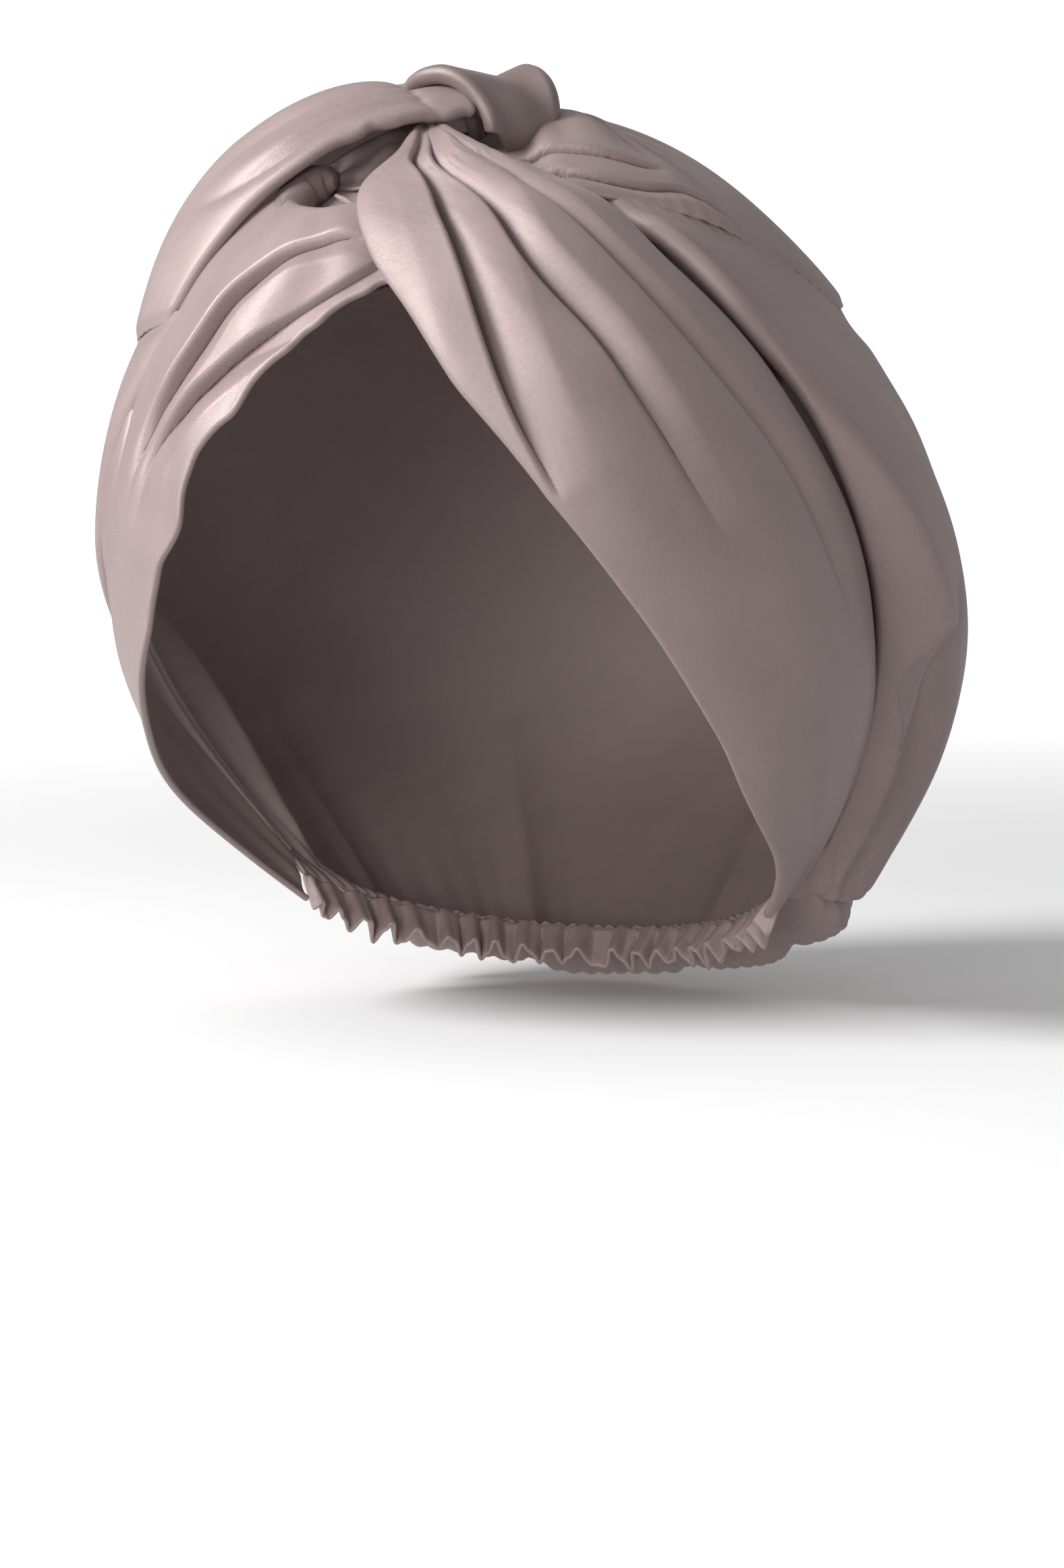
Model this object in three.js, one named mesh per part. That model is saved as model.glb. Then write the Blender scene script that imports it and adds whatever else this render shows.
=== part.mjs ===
// Satin turban bonnet: a twisted knot over the forehead, a pleated panel wrapped down each side,
// a gathered crown, and a bag that is drawn in by a ruffled casing at the nape.
// Directions are azimuth and elevation in degrees about the centre of the head: azimuth 0 is the
// front (-Y), positive towards the wearer's left (+X). Lift is the height of the cloth off the head.
import * as THREE from "three";

// Driving dimensions, in millimetres
const HEAD = { halfWidth: 76, front: 95, back: 98, top: 88, bottom: 120 };
const CLOTH = 1.2;
const LEAST_LIFT = 0.9;
const CASING_WIDTH = 8;
const RUFFLE = { count: 17, height: 4, shareAtHem: 0.3, outward: 0.5 };

// Loop of the knot: its middle, its turn about Z, its half widths at the feet and at the top, and the
// angles round the arch of its front and back feet, which go into the twist
const LOOP_CENTRE = new THREE.Vector3(5, -20.7, 87);
const LOOP_TURN = 20;
const LOOP_WIDTHS = { leftFoot: 7, leftTop: 16, rightFoot: 12, rightTop: 16.5, widening: 0.7 };
const LOOP = { radius: 14, frontFoot: -6, backFoot: 172, saddle: 1.5, rimCurl: 3, rimSharpness: 8 };

// Cells of each wall, along and across
const CELLS = {
  left_wrap: [28, 18],
  right_wrap: [26, 14],
  crown_top: [48, 9],
  crown_back: [44, 15],
  knot_loop: [14, 10],
  knot_tuck: [14, 8],
  nape_casing: [102, 2],
};

// Sections of the left panel from the knot to the nape: its fore edge, its aft edge and its swell
const LEFT_WRAP = [
  { along: 0, foreAz: -3, foreEl: 67.7, foreLift: 4, aftAz: 5, aftEl: 66.7, aftLift: 5, swell: 0 },
  { along: 0.06, foreAz: -2, foreEl: 57, foreLift: 7, aftAz: 11, aftEl: 61.5, aftLift: 9, swell: 1 },
  { along: 0.13, foreAz: -5.5, foreEl: 49, foreLift: 7.5, aftAz: 21, aftEl: 57, aftLift: 10, swell: 3 },
  { along: 0.2, foreAz: 0, foreEl: 39.5, foreLift: 6.5, aftAz: 32.5, aftEl: 54.5, aftLift: 9, swell: 5 },
  { along: 0.3, foreAz: 7.5, foreEl: 31.5, foreLift: 4, aftAz: 42.5, aftEl: 49.5, aftLift: 8.5, swell: 7 },
  { along: 0.42, foreAz: 17, foreEl: 19, foreLift: 1.5, aftAz: 51.5, aftEl: 41, aftLift: 8, swell: 7 },
  { along: 0.54, foreAz: 28.5, foreEl: 6, foreLift: 1.5, aftAz: 64.5, aftEl: 28, aftLift: 8, swell: 7 },
  { along: 0.66, foreAz: 40, foreEl: -7.5, foreLift: 1.5, aftAz: 76.5, aftEl: 12.5, aftLift: 8, swell: 6 },
  { along: 0.78, foreAz: 56, foreEl: -25.5, foreLift: 1.5, aftAz: 93, aftEl: -9.5, aftLift: 7, swell: 5 },
  { along: 0.9, foreAz: 76, foreEl: -41, foreLift: 1.5, aftAz: 104, aftEl: -29, aftLift: 6, swell: 3 },
  { along: 1, foreAz: 112, foreEl: -54, foreLift: 3, aftAz: 113, aftEl: -47.5, aftLift: 4, swell: 0 },
];

// Roundness of a side panel between its edges, and the shares of a pleat's length where it fades
const SWELL_POWER = 0.6;
const PLEAT_FADE = { fullFrom: 0.15, fullTo: 0.6 };

// Pleats of the left panel: where each valley runs across the panel, and its depth and half width
const LEFT_PLEATS = [
  { from: 0.06, to: 0.52, acrossFrom: 0.5, acrossTo: 0.02, depth: 5, halfWidth: 0.13 },
  { from: 0.06, to: 0.68, acrossFrom: 0.62, acrossTo: 0.45, depth: 6, halfWidth: 0.16 },
  { from: 0.06, to: 0.86, acrossFrom: 0.84, acrossTo: 0.85, depth: 3.5, halfWidth: 0.09 },
];

// Sections of the right panel, from its end under the left panel to the nape
const RIGHT_WRAP = [
  { along: 0, foreAz: 6, foreEl: 37, foreLift: 1.2, aftAz: 0, aftEl: 52, aftLift: 1.2, swell: 0.5 },
  { along: 0.08, foreAz: 2, foreEl: 37.5, foreLift: 1.4, aftAz: -4, aftEl: 54, aftLift: 1.2, swell: 2.5 },
  { along: 0.18, foreAz: -4, foreEl: 33.5, foreLift: 1.4, aftAz: -12, aftEl: 55, aftLift: 1.4, swell: 4 },
  { along: 0.28, foreAz: -9.5, foreEl: 28.5, foreLift: 1.4, aftAz: -20, aftEl: 53, aftLift: 1.6, swell: 5 },
  { along: 0.4, foreAz: -17, foreEl: 19.5, foreLift: 1.4, aftAz: -31, aftEl: 45, aftLift: 2, swell: 5 },
  { along: 0.5, foreAz: -23.5, foreEl: 12.5, foreLift: 1.4, aftAz: -41, aftEl: 34, aftLift: 2, swell: 5 },
  { along: 0.6, foreAz: -26.5, foreEl: 3, foreLift: 1.4, aftAz: -48, aftEl: 22, aftLift: 2, swell: 5 },
  { along: 0.7, foreAz: -33, foreEl: -4.5, foreLift: 1.4, aftAz: -53, aftEl: 9, aftLift: 2, swell: 5 },
  { along: 0.8, foreAz: -43, foreEl: -17, foreLift: 1.4, aftAz: -62, aftEl: -4, aftLift: 1.4, swell: 2.5 },
  { along: 0.9, foreAz: -66, foreEl: -36, foreLift: 1.4, aftAz: -84, aftEl: -24, aftLift: 1.2, swell: 1.2 },
  { along: 1, foreAz: -112, foreEl: -55, foreLift: 1.4, aftAz: -113, aftEl: -48.5, aftLift: 1.4, swell: 0 },
];

// Rolls of the right panel
const RIGHT_PLEATS = [
  { from: 0.04, to: 0.7, acrossFrom: 0.15, acrossTo: 0.56, depth: 3.5, halfWidth: 0.13 },
  { from: 0.04, to: 0.76, acrossFrom: 0.31, acrossTo: 0.75, depth: 4, halfWidth: 0.13 },
];

// Hollow of the right panel that takes the tucked roll
const HOLLOW = { along: 0.2, across: 0.85, halfLength: 0.2, halfWidth: 0.45, floor: 0.3, depth: 5 };

// Strands of the top panel, from the right front round the back to the left: each runs from the rim
// under the loop to the seam. The seam ends at turn 1, and the last strand lies under the left panel
const CROWN_TURNS = 1.06;
const CROWN_TOP = [
  { turn: 0, rimAz: 6, rimEl: 64, rimLift: 9.5, seamAz: -34, seamEl: 31.5, seamLift: 8, swell: 0 },
  { turn: 0.025, rimAz: -2, rimEl: 67, rimLift: 13, seamAz: -42, seamEl: 30.5, seamLift: 8.5, swell: 4 },
  { turn: 0.06, rimAz: -14, rimEl: 70.5, rimLift: 13, seamAz: -53, seamEl: 29.5, seamLift: 8.5, swell: 6 },
  { turn: 0.14, rimAz: -30, rimEl: 74, rimLift: 12.5, seamAz: -75, seamEl: 29, seamLift: 8.5, swell: 6 },
  { turn: 0.26, rimAz: -48, rimEl: 79.5, rimLift: 7, seamAz: -110, seamEl: 31, seamLift: 9, swell: 6 },
  { turn: 0.38, rimAz: -33, rimEl: 83, rimLift: 5.5, seamAz: -145, seamEl: 33.5, seamLift: 9, swell: 3 },
  { turn: 0.5, rimAz: -3.5, rimEl: 86.1, rimLift: 5.5, seamAz: -180, seamEl: 36, seamLift: 9, swell: 1 },
  { turn: 0.62, rimAz: 58, rimEl: 85.5, rimLift: 5.5, seamAz: -214, seamEl: 36, seamLift: 9.5, swell: 0 },
  { turn: 0.74, rimAz: 83, rimEl: 81.5, rimLift: 5, seamAz: -247, seamEl: 34, seamLift: 10, swell: -1 },
  { turn: 0.83, rimAz: 71, rimEl: 77.5, rimLift: 5, seamAz: -274, seamEl: 43.5, seamLift: 9.5, swell: 0 },
  { turn: 0.92, rimAz: 53, rimEl: 75, rimLift: 6.5, seamAz: -300, seamEl: 51.5, seamLift: 8, swell: 1 },
  { turn: 0.97, rimAz: 43.5, rimEl: 72, rimLift: 3.5, seamAz: -319, seamEl: 54, seamLift: 5, swell: 0 },
  { turn: 1, rimAz: 26, rimEl: 72, rimLift: 1.2, seamAz: -333, seamEl: 52.5, seamLift: 1.2, swell: 0 },
  { turn: 1.06, rimAz: -2, rimEl: 67, rimLift: 1.2, seamAz: -347, seamEl: 54, seamLift: 1.2, swell: 0 },
];

// Gathers of the top panel: the strand that each valley follows, and its reach from the rim. Each is
// at its full depth over the first share of its reach
const GATHER_FULL = 0.4;
const CROWN_SWELL_POWER = 0.7;
const CROWN_GATHERS = [
  { turn: 0.06, reach: 0.7, depth: 2.5, halfWidth: 0.025 },
  { turn: 0.17, reach: 0.6, depth: 2, halfWidth: 0.04 },
  { turn: 0.3, reach: 0.6, depth: 2, halfWidth: 0.05 },
  { turn: 0.44, reach: 0.6, depth: 2, halfWidth: 0.05 },
  { turn: 0.57, reach: 0.6, depth: 2, halfWidth: 0.05 },
  { turn: 0.68, reach: 0.7, depth: 2, halfWidth: 0.04 },
  { turn: 0.77, reach: 0.8, depth: 3, halfWidth: 0.03 },
  { turn: 0.84, reach: 0.9, depth: 3, halfWidth: 0.03 },
];

// Lift of the bag where it hangs free, by elevation from its bottom to the seam
const BAG = [
  { el: -60, lift: 18 },
  { el: -54, lift: 20 },
  { el: -45, lift: 21.5 },
  { el: -36, lift: 24 },
  { el: -26, lift: 26 },
  { el: -14, lift: 25.5 },
  { el: -2, lift: 22 },
  { el: 12, lift: 17 },
  { el: 24, lift: 12 },
  { el: 36, lift: 8.5 },
  { el: 60, lift: 7 },
];

// Shares of the bag's width where it comes free of the side panels and reaches its full lift. On the
// right it lies over the panel and stays near the head as far as the ear
const BAG_LEFT = { under: 0.03, full: 0.1, fullAtHem: 0.04, lowFrom: 0.9 };
const BAG_RIGHT = { flat: 0.1, full: 0.28, lowEl: -25, lowLift: 4.6, highEl: 2, highLift: 7.5 };

// The bag takes its lift from the seam over a share of its length, sags below its hem by an angle late
// in its length, and turns in over its last share. Its rows crowd towards the hem
const BAG_SEAM_BLEND = 0.12;
const BAG_SAG = { angle: 5.5, lateness: 6, squareness: 0.5 };
const HEM_TURN = 0.07;
const ROW_CROWDING = 1.5;

// Long folds of the bag that run up from each end of the hem, deepest near the hem
const FOLD_FULL = 0.9;
const BAG_FOLDS = [
  { around: 0.085, from: 0.45, depth: 5, halfWidth: 0.035 },
  { around: 0.15, from: 0.6, depth: 5, halfWidth: 0.04 },
  { around: 0.85, from: 0.6, depth: 5, halfWidth: 0.04 },
];

// Roll of cloth tucked below the loop, from its blunt end to the knot
const TUCK = [
  { along: 0, az: -21.5, el: 44.5, lift: 7.2, radius: 2 },
  { along: 0.12, az: -19.5, el: 46, lift: 7.6, radius: 4.4 },
  { along: 0.32, az: -14.5, el: 49.5, lift: 7, radius: 4 },
  { along: 0.46, az: -11.5, el: 52, lift: 6.5, radius: 2.6 },
  { along: 0.66, az: -8.5, el: 54.5, lift: 6, radius: 3.6 },
  { along: 0.86, az: -7.5, el: 59, lift: 5.5, radius: 2.6 },
  { along: 1, az: -7.5, el: 62, lift: 5, radius: 1.5 },
];

// Hem of the bag at the nape, between the ends of the two side panels
const HEM = { endAz: 116, endEl: -51, dip: 3, flatness: 4, lift: 2.5 };

// Where the bag's hidden edges run under the side panels, and how closely they keep to the sides
const EDGE_TUCK = { left: { from: 0.2, across: 0.78 }, right: { from: 0.47, across: 0.96 } };
const EDGE_CLOSENESS = 3;

// Gap at the seam between the top panel and the bag
const SEAM_GAP = 0.9;

const { lerp, smoothstep, degToRad, radToDeg } = THREE.MathUtils;

function direction(az, el) {
  const [a, e] = [degToRad(az), degToRad(el)];
  return new THREE.Vector3(Math.sin(a) * Math.cos(e), -Math.cos(a) * Math.cos(e), Math.sin(e));
}

// Distance from the head's centre to its surface in a direction
function headRadius(d) {
  const length = d.y < 0 ? HEAD.front : HEAD.back;
  const height = d.z > 0 ? HEAD.top : HEAD.bottom;
  return 1 / Math.hypot(d.x / HEAD.halfWidth, d.y / length, d.z / height);
}

function liftedPoint(d, lift) {
  return d.clone().multiplyScalar(headRadius(d) + Math.max(lift, LEAST_LIFT));
}

// Smooth value of a table's column at x, along the column that orders its rows
function smooth(rows, order, column, x) {
  const last = rows.length - 1;
  let i = 0;
  while (i < last - 1 && x > rows[i + 1][order]) i += 1;
  const slope = (k) => {
    const [a, b] = [rows[Math.max(k - 1, 0)], rows[Math.min(k + 1, last)]];
    return (b[column] - a[column]) / (b[order] - a[order]);
  };
  const step = rows[i + 1][order] - rows[i][order];
  const t = (x - rows[i][order]) / step;
  const start = rows[i][column] * (1 + 2 * t) * (1 - t) ** 2 + slope(i) * step * t * (1 - t) ** 2;
  const end = rows[i + 1][column] * (3 - 2 * t) * t ** 2 + slope(i + 1) * step * (t - 1) * t ** 2;
  return start + end;
}

// A valley: 1 at its bottom, falling to 0 at its half width
function valley(offset, halfWidth) {
  return (1 - Math.min(Math.abs(offset) / halfWidth, 1)) ** 2;
}

// A wall of cloth: the sheet at(u, v) thickened to both sides, with its four edges closed
function clothWall(at, [cellsU, cellsV]) {
  const reach = 1e-3;
  const normalAt = (u, v) => {
    const du = at(Math.min(u + reach, 1), v).sub(at(Math.max(u - reach, 0), v));
    const dv = at(u, Math.min(v + reach, 1)).sub(at(u, Math.max(v - reach, 0)));
    return du.cross(dv).normalize();
  };
  const facing = Math.sign(normalAt(0.5, 0.5).dot(at(0.5, 0.5)));
  const columns = cellsV + 1;
  const layer = (cellsU + 1) * columns;
  const positions = [];
  for (const side of [1, -1]) {
    for (let k = 0; k < layer; k += 1) {
      const [u, v] = [Math.floor(k / columns) / cellsU, (k % columns) / cellsV];
      const point = at(u, v).addScaledVector(normalAt(u, v), (side * facing * CLOTH) / 2);
      positions.push(point.x, point.y, point.z);
    }
  }
  const faces = [];
  const quad = (a, b, c, d) => {
    const [p, q] = facing > 0 ? [b, d] : [d, b];
    faces.push(a, p, c, a, c, q);
  };
  const outer = (i, j) => i * columns + j;
  const inner = (i, j) => layer + outer(i, j);
  for (let i = 0; i < cellsU; i += 1) {
    for (let j = 0; j < cellsV; j += 1) {
      quad(outer(i, j), outer(i + 1, j), outer(i + 1, j + 1), outer(i, j + 1));
      quad(inner(i, j), inner(i, j + 1), inner(i + 1, j + 1), inner(i + 1, j));
    }
    quad(outer(i, 0), inner(i, 0), inner(i + 1, 0), outer(i + 1, 0));
    quad(outer(i, cellsV), outer(i + 1, cellsV), inner(i + 1, cellsV), inner(i, cellsV));
  }
  for (let j = 0; j < cellsV; j += 1) {
    quad(outer(0, j), outer(0, j + 1), inner(0, j + 1), inner(0, j));
    quad(outer(cellsU, j), inner(cellsU, j), inner(cellsU, j + 1), outer(cellsU, j + 1));
  }
  const geometry = new THREE.BufferGeometry();
  geometry.setAttribute("position", new THREE.Float32BufferAttribute(positions, 3));
  geometry.setIndex(faces);
  geometry.computeVertexNormals();
  return geometry;
}

// Direction across a side panel, from its front edge at 0 to its back edge at 1
function wrapDirection(sections, along, across) {
  const value = (column) => smooth(sections, "along", column, along);
  const front = direction(value("foreAz"), value("foreEl"));
  return front.lerp(direction(value("aftAz"), value("aftEl")), across).normalize();
}

// A side panel: swollen between its edges and creased along its pleats
function wrapSheet(sections, pleats, hollow) {
  return (along, across) => {
    const value = (column) => smooth(sections, "along", column, along);
    let lift = lerp(value("foreLift"), value("aftLift"), across);
    lift += value("swell") * (4 * across * (1 - across)) ** SWELL_POWER;
    for (const pleat of pleats) {
      const travel = (along - pleat.from) / (pleat.to - pleat.from);
      const fadeIn = smoothstep(travel, 0, PLEAT_FADE.fullFrom);
      const fade = fadeIn * (1 - smoothstep(travel, PLEAT_FADE.fullTo, 1));
      const middle = lerp(pleat.acrossFrom, pleat.acrossTo, travel);
      lift -= pleat.depth * fade * valley(across - middle, pleat.halfWidth);
    }
    if (hollow) {
      const offAlong = (along - hollow.along) / hollow.halfLength;
      const offAcross = (across - hollow.across) / hollow.halfWidth;
      lift -= hollow.depth * (1 - smoothstep(Math.hypot(offAlong, offAcross), hollow.floor, 1));
    }
    return liftedPoint(wrapDirection(sections, along, across), lift);
  };
}

// The top panel: strands that fan from the rim under the loop to the seam
function crownTopSheet(around, out) {
  const turn = CROWN_TURNS * around;
  const value = (column) => smooth(CROWN_TOP, "turn", column, turn);
  const rim = direction(value("rimAz"), value("rimEl"));
  const seam = direction(value("seamAz"), value("seamEl"));
  const gapShare = SEAM_GAP / (HEAD.top * rim.angleTo(seam));
  const d = rim.lerp(seam, out * (1 - gapShare)).normalize();
  let lift = lerp(value("rimLift"), value("seamLift"), out);
  lift += value("swell") * Math.sin(Math.PI * out ** CROWN_SWELL_POWER);
  for (const gather of CROWN_GATHERS) {
    const fade = 1 - smoothstep(out, GATHER_FULL * gather.reach, gather.reach);
    lift -= gather.depth * fade * valley(turn - gather.turn, gather.halfWidth);
  }
  return liftedPoint(d, lift);
}

// Azimuth and elevation of the seam, from the left panel round the back to the right panel
function seamAngles(around) {
  const value = (column) => smooth(CROWN_TOP, "turn", column, 1 - around);
  return new THREE.Vector2(value("seamAz") + 360, value("seamEl"));
}

function hemAngles(around) {
  const az = lerp(HEM.endAz, 360 - HEM.endAz, around);
  return new THREE.Vector2(az, HEM.endEl - HEM.dip * (1 - (2 * around - 1) ** HEM.flatness));
}

// Azimuth and elevation of the bag's hidden edge, under a side panel
function edgeAngles(sections, tuck, down) {
  const d = wrapDirection(sections, lerp(tuck.from, 1, down), tuck.across);
  const az = radToDeg(Math.atan2(d.x, -d.y));
  return new THREE.Vector2((az + 360) % 360, radToDeg(Math.asin(d.z)));
}

// How far the hidden edge strays from the straight line between its two corners
function edgePull(edge, around, down) {
  const straight = edge(0).lerp(edge(1), down);
  return edge(down).sub(straight).multiplyScalar(around);
}

// The bag: it hangs from the seam to the hem, puffs out at the back, and sags below its hem
function crownBackSheet(around, down) {
  const fromRight = 1 - around;
  const drop = 1 - (1 - down) ** ROW_CROWDING;
  const leftEdge = (s) => edgeAngles(LEFT_WRAP, EDGE_TUCK.left, s);
  const rightEdge = (s) => edgeAngles(RIGHT_WRAP, EDGE_TUCK.right, s);
  const angles = seamAngles(around).lerp(hemAngles(around), drop);
  angles.add(edgePull(leftEdge, fromRight ** EDGE_CLOSENESS, drop));
  angles.add(edgePull(rightEdge, around ** EDGE_CLOSENESS, drop));
  const sag = Math.sin(Math.PI * drop ** BAG_SAG.lateness);
  angles.y -= BAG_SAG.angle * sag * Math.sin(Math.PI * around) ** BAG_SAG.squareness;
  let lift = smooth(BAG, "el", "lift", angles.y);
  const high = smoothstep(angles.y, BAG_RIGHT.lowEl, BAG_RIGHT.highEl);
  const flat = lerp(BAG_RIGHT.lowLift, BAG_RIGHT.highLift, high);
  lift = lerp(flat, lift, smoothstep(fromRight, BAG_RIGHT.flat, BAG_RIGHT.full));
  const low = smoothstep(drop, BAG_LEFT.lowFrom, 1);
  const under = lerp(BAG_LEFT.under, 0, low);
  const full = lerp(BAG_LEFT.full, BAG_LEFT.fullAtHem, low);
  lift = lerp(LEAST_LIFT, lift, smoothstep(around, under, full));
  const seamLift = smooth(CROWN_TOP, "turn", "seamLift", fromRight);
  lift = lerp(seamLift, lift, smoothstep(drop, 0, BAG_SEAM_BLEND));
  for (const fold of BAG_FOLDS) {
    const deepening = smoothstep(drop, fold.from, FOLD_FULL);
    lift -= fold.depth * deepening * valley(around - fold.around, fold.halfWidth);
  }
  lift = lerp(HEM.lift, lift, smoothstep(1 - drop, 0, HEM_TURN));
  return liftedPoint(direction(angles.x, angles.y), lift);
}

// The casing: a strip that follows the hem and ruffles more towards its free edge
function casingSheet(around, out) {
  const angles = hemAngles(around);
  const reachBelow = radToDeg((CASING_WIDTH * out + CLOTH) / HEAD.bottom);
  const d = direction(angles.x, angles.y - reachBelow);
  const wave = Math.sin(2 * Math.PI * RUFFLE.count * around) + RUFFLE.outward;
  const height = RUFFLE.height * lerp(RUFFLE.shareAtHem, 1, out);
  return liftedPoint(d, HEM.lift + (height * wave) / 2);
}

// The loop: an arch over the twist, with a shallow saddle between two curled rims
function loopSheet(over, across) {
  const angle = degToRad(lerp(LOOP.frontFoot, LOOP.backFoot, over));
  const side = 2 * across - 1;
  const rise = Math.max(Math.sin(angle), 0) ** LOOP_WIDTHS.widening;
  const left = lerp(LOOP_WIDTHS.leftFoot, LOOP_WIDTHS.leftTop, rise);
  const right = lerp(LOOP_WIDTHS.rightFoot, LOOP_WIDTHS.rightTop, rise);
  const width = side < 0 ? left : right;
  const radius = LOOP.radius + LOOP.saddle * side ** 2 - LOOP.rimCurl * side ** LOOP.rimSharpness;
  const local = new THREE.Vector3(side * width, -radius * Math.cos(angle), radius * Math.sin(angle));
  return local.applyAxisAngle(new THREE.Vector3(0, 0, 1), degToRad(LOOP_TURN)).add(LOOP_CENTRE);
}

// The tucked roll: a closed tube of changing thickness along its path
function tuckGeometry([steps, sides]) {
  const path = new THREE.CatmullRomCurve3(
    TUCK.map((row) => liftedPoint(direction(row.az, row.el), row.lift)),
  );
  const frames = path.computeFrenetFrames(steps, false);
  const positions = [];
  for (let i = 0; i <= steps; i += 1) {
    const centre = path.getPointAt(i / steps);
    const radius = smooth(TUCK, "along", "radius", i / steps);
    for (let j = 0; j < sides; j += 1) {
      const angle = (2 * Math.PI * j) / sides;
      const point = centre.clone();
      point.addScaledVector(frames.normals[i], radius * Math.cos(angle));
      point.addScaledVector(frames.binormals[i], radius * Math.sin(angle));
      positions.push(point.x, point.y, point.z);
    }
  }
  const faces = [];
  const at = (i, j) => i * sides + (j % sides);
  for (let j = 0; j < sides; j += 1) {
    for (let i = 0; i < steps; i += 1) {
      faces.push(at(i, j), at(i, j + 1), at(i + 1, j + 1), at(i, j), at(i + 1, j + 1), at(i + 1, j));
    }
    if (j > 0 && j < sides - 1) {
      faces.push(at(0, 0), at(0, j + 1), at(0, j));
      faces.push(at(steps, 0), at(steps, j), at(steps, j + 1));
    }
  }
  const geometry = new THREE.BufferGeometry();
  geometry.setAttribute("position", new THREE.Float32BufferAttribute(positions, 3));
  geometry.setIndex(faces);
  geometry.computeVertexNormals();
  return geometry;
}

const satin = new THREE.MeshStandardMaterial({ color: 0xb39a97, roughness: 0.42, metalness: 0 });
const casingSatin = new THREE.MeshStandardMaterial({ color: 0xa48c89, roughness: 0.5, metalness: 0 });

const sheets = {
  left_wrap: wrapSheet(LEFT_WRAP, LEFT_PLEATS),
  right_wrap: wrapSheet(RIGHT_WRAP, RIGHT_PLEATS, HOLLOW),
  crown_top: crownTopSheet,
  crown_back: crownBackSheet,
  knot_loop: loopSheet,
  nape_casing: casingSheet,
};

// The origin is the top of the head, where the bonnet sits
const bonnet = new THREE.Group();
bonnet.name = "satin_turban_bonnet";
bonnet.position.z = -HEAD.top;
for (const [name, sheet] of Object.entries(sheets)) {
  const material = name === "nape_casing" ? casingSatin : satin;
  const mesh = new THREE.Mesh(clothWall(sheet, CELLS[name]), material);
  mesh.name = name;
  bonnet.add(mesh);
}
const tuck = new THREE.Mesh(tuckGeometry(CELLS.knot_tuck), satin);
tuck.name = "knot_tuck";
bonnet.add(tuck);

export default bonnet;
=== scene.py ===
"""Satin turban bonnet, dressed round its solids. Sheets are worked out in millimetres from the head's middle."""

import math
from functools import partial

import bpy
import numpy as np
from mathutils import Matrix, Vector


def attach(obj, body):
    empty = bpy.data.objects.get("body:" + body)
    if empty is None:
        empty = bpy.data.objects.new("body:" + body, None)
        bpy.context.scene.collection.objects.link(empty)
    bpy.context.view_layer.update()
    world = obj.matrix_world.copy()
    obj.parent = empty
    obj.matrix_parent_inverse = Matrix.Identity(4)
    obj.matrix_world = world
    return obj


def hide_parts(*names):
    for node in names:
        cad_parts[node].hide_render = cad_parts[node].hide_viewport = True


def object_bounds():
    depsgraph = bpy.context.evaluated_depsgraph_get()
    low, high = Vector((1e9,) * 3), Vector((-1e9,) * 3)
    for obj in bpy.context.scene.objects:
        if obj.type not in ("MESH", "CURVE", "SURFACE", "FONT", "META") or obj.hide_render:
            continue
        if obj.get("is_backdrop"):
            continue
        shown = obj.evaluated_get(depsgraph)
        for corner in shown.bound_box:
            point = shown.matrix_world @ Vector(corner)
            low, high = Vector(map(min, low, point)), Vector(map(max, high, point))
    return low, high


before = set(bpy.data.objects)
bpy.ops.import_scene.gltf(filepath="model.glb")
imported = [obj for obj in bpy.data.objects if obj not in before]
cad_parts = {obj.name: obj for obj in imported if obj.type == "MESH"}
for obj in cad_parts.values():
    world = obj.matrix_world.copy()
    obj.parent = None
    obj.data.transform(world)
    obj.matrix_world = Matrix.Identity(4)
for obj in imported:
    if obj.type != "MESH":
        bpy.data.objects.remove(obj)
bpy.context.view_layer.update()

# The head that the cloth lies on, and the cloth itself, in millimetres
HEAD_HALF_WIDTH = 76
HEAD_FRONT, HEAD_BACK = 95, 98
HEAD_TOP, HEAD_BOTTOM = 88, 120
CLOTH = 0.9
LEAST_LIFT = 0.8
MM = 0.001
TINY = 1e-9


def table(columns, rows):
    """A short table as named columns. The first one orders the rows."""
    return dict(zip(columns.split(), np.array(rows, float).T))


# Side panels, from the knot to the nape: directions and lifts of the front and back edges, and the swell between
WRAP_COLUMNS = "along fore_az fore_el fore_lift aft_az aft_el aft_lift swell"
LEFT_WRAP = table(WRAP_COLUMNS, [
    (0.00, -5.8, 67.3, 7.5, 3, 68, 7.5, 0),
    (0.06, -3.2, 58.6, 8.5, 11, 62.3, 9.5, 1),
    (0.13, -6.3, 50.3, 8, 21, 57.3, 10, 2),
    (0.20, -0.3, 40.2, 6.7, 32.5, 54.5, 9, 4),
    (0.30, 7.5, 31.5, 4, 42.5, 49.5, 8.5, 7),
    (0.42, 17, 19, 1.5, 51.5, 41, 8, 7),
    (0.54, 28.5, 6, 1.5, 64.5, 28, 8, 7),
    (0.66, 40, -7.5, 1.5, 76.5, 12.5, 8, 6),
    (0.78, 56, -25.5, 1.5, 94.5, -9.5, 8.5, 5),
    (0.90, 76, -41, 1.5, 106.5, -29, 8.5, 3),
    (1.00, 112, -54, 3, 114.5, -47, 6, 0),
])
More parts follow.
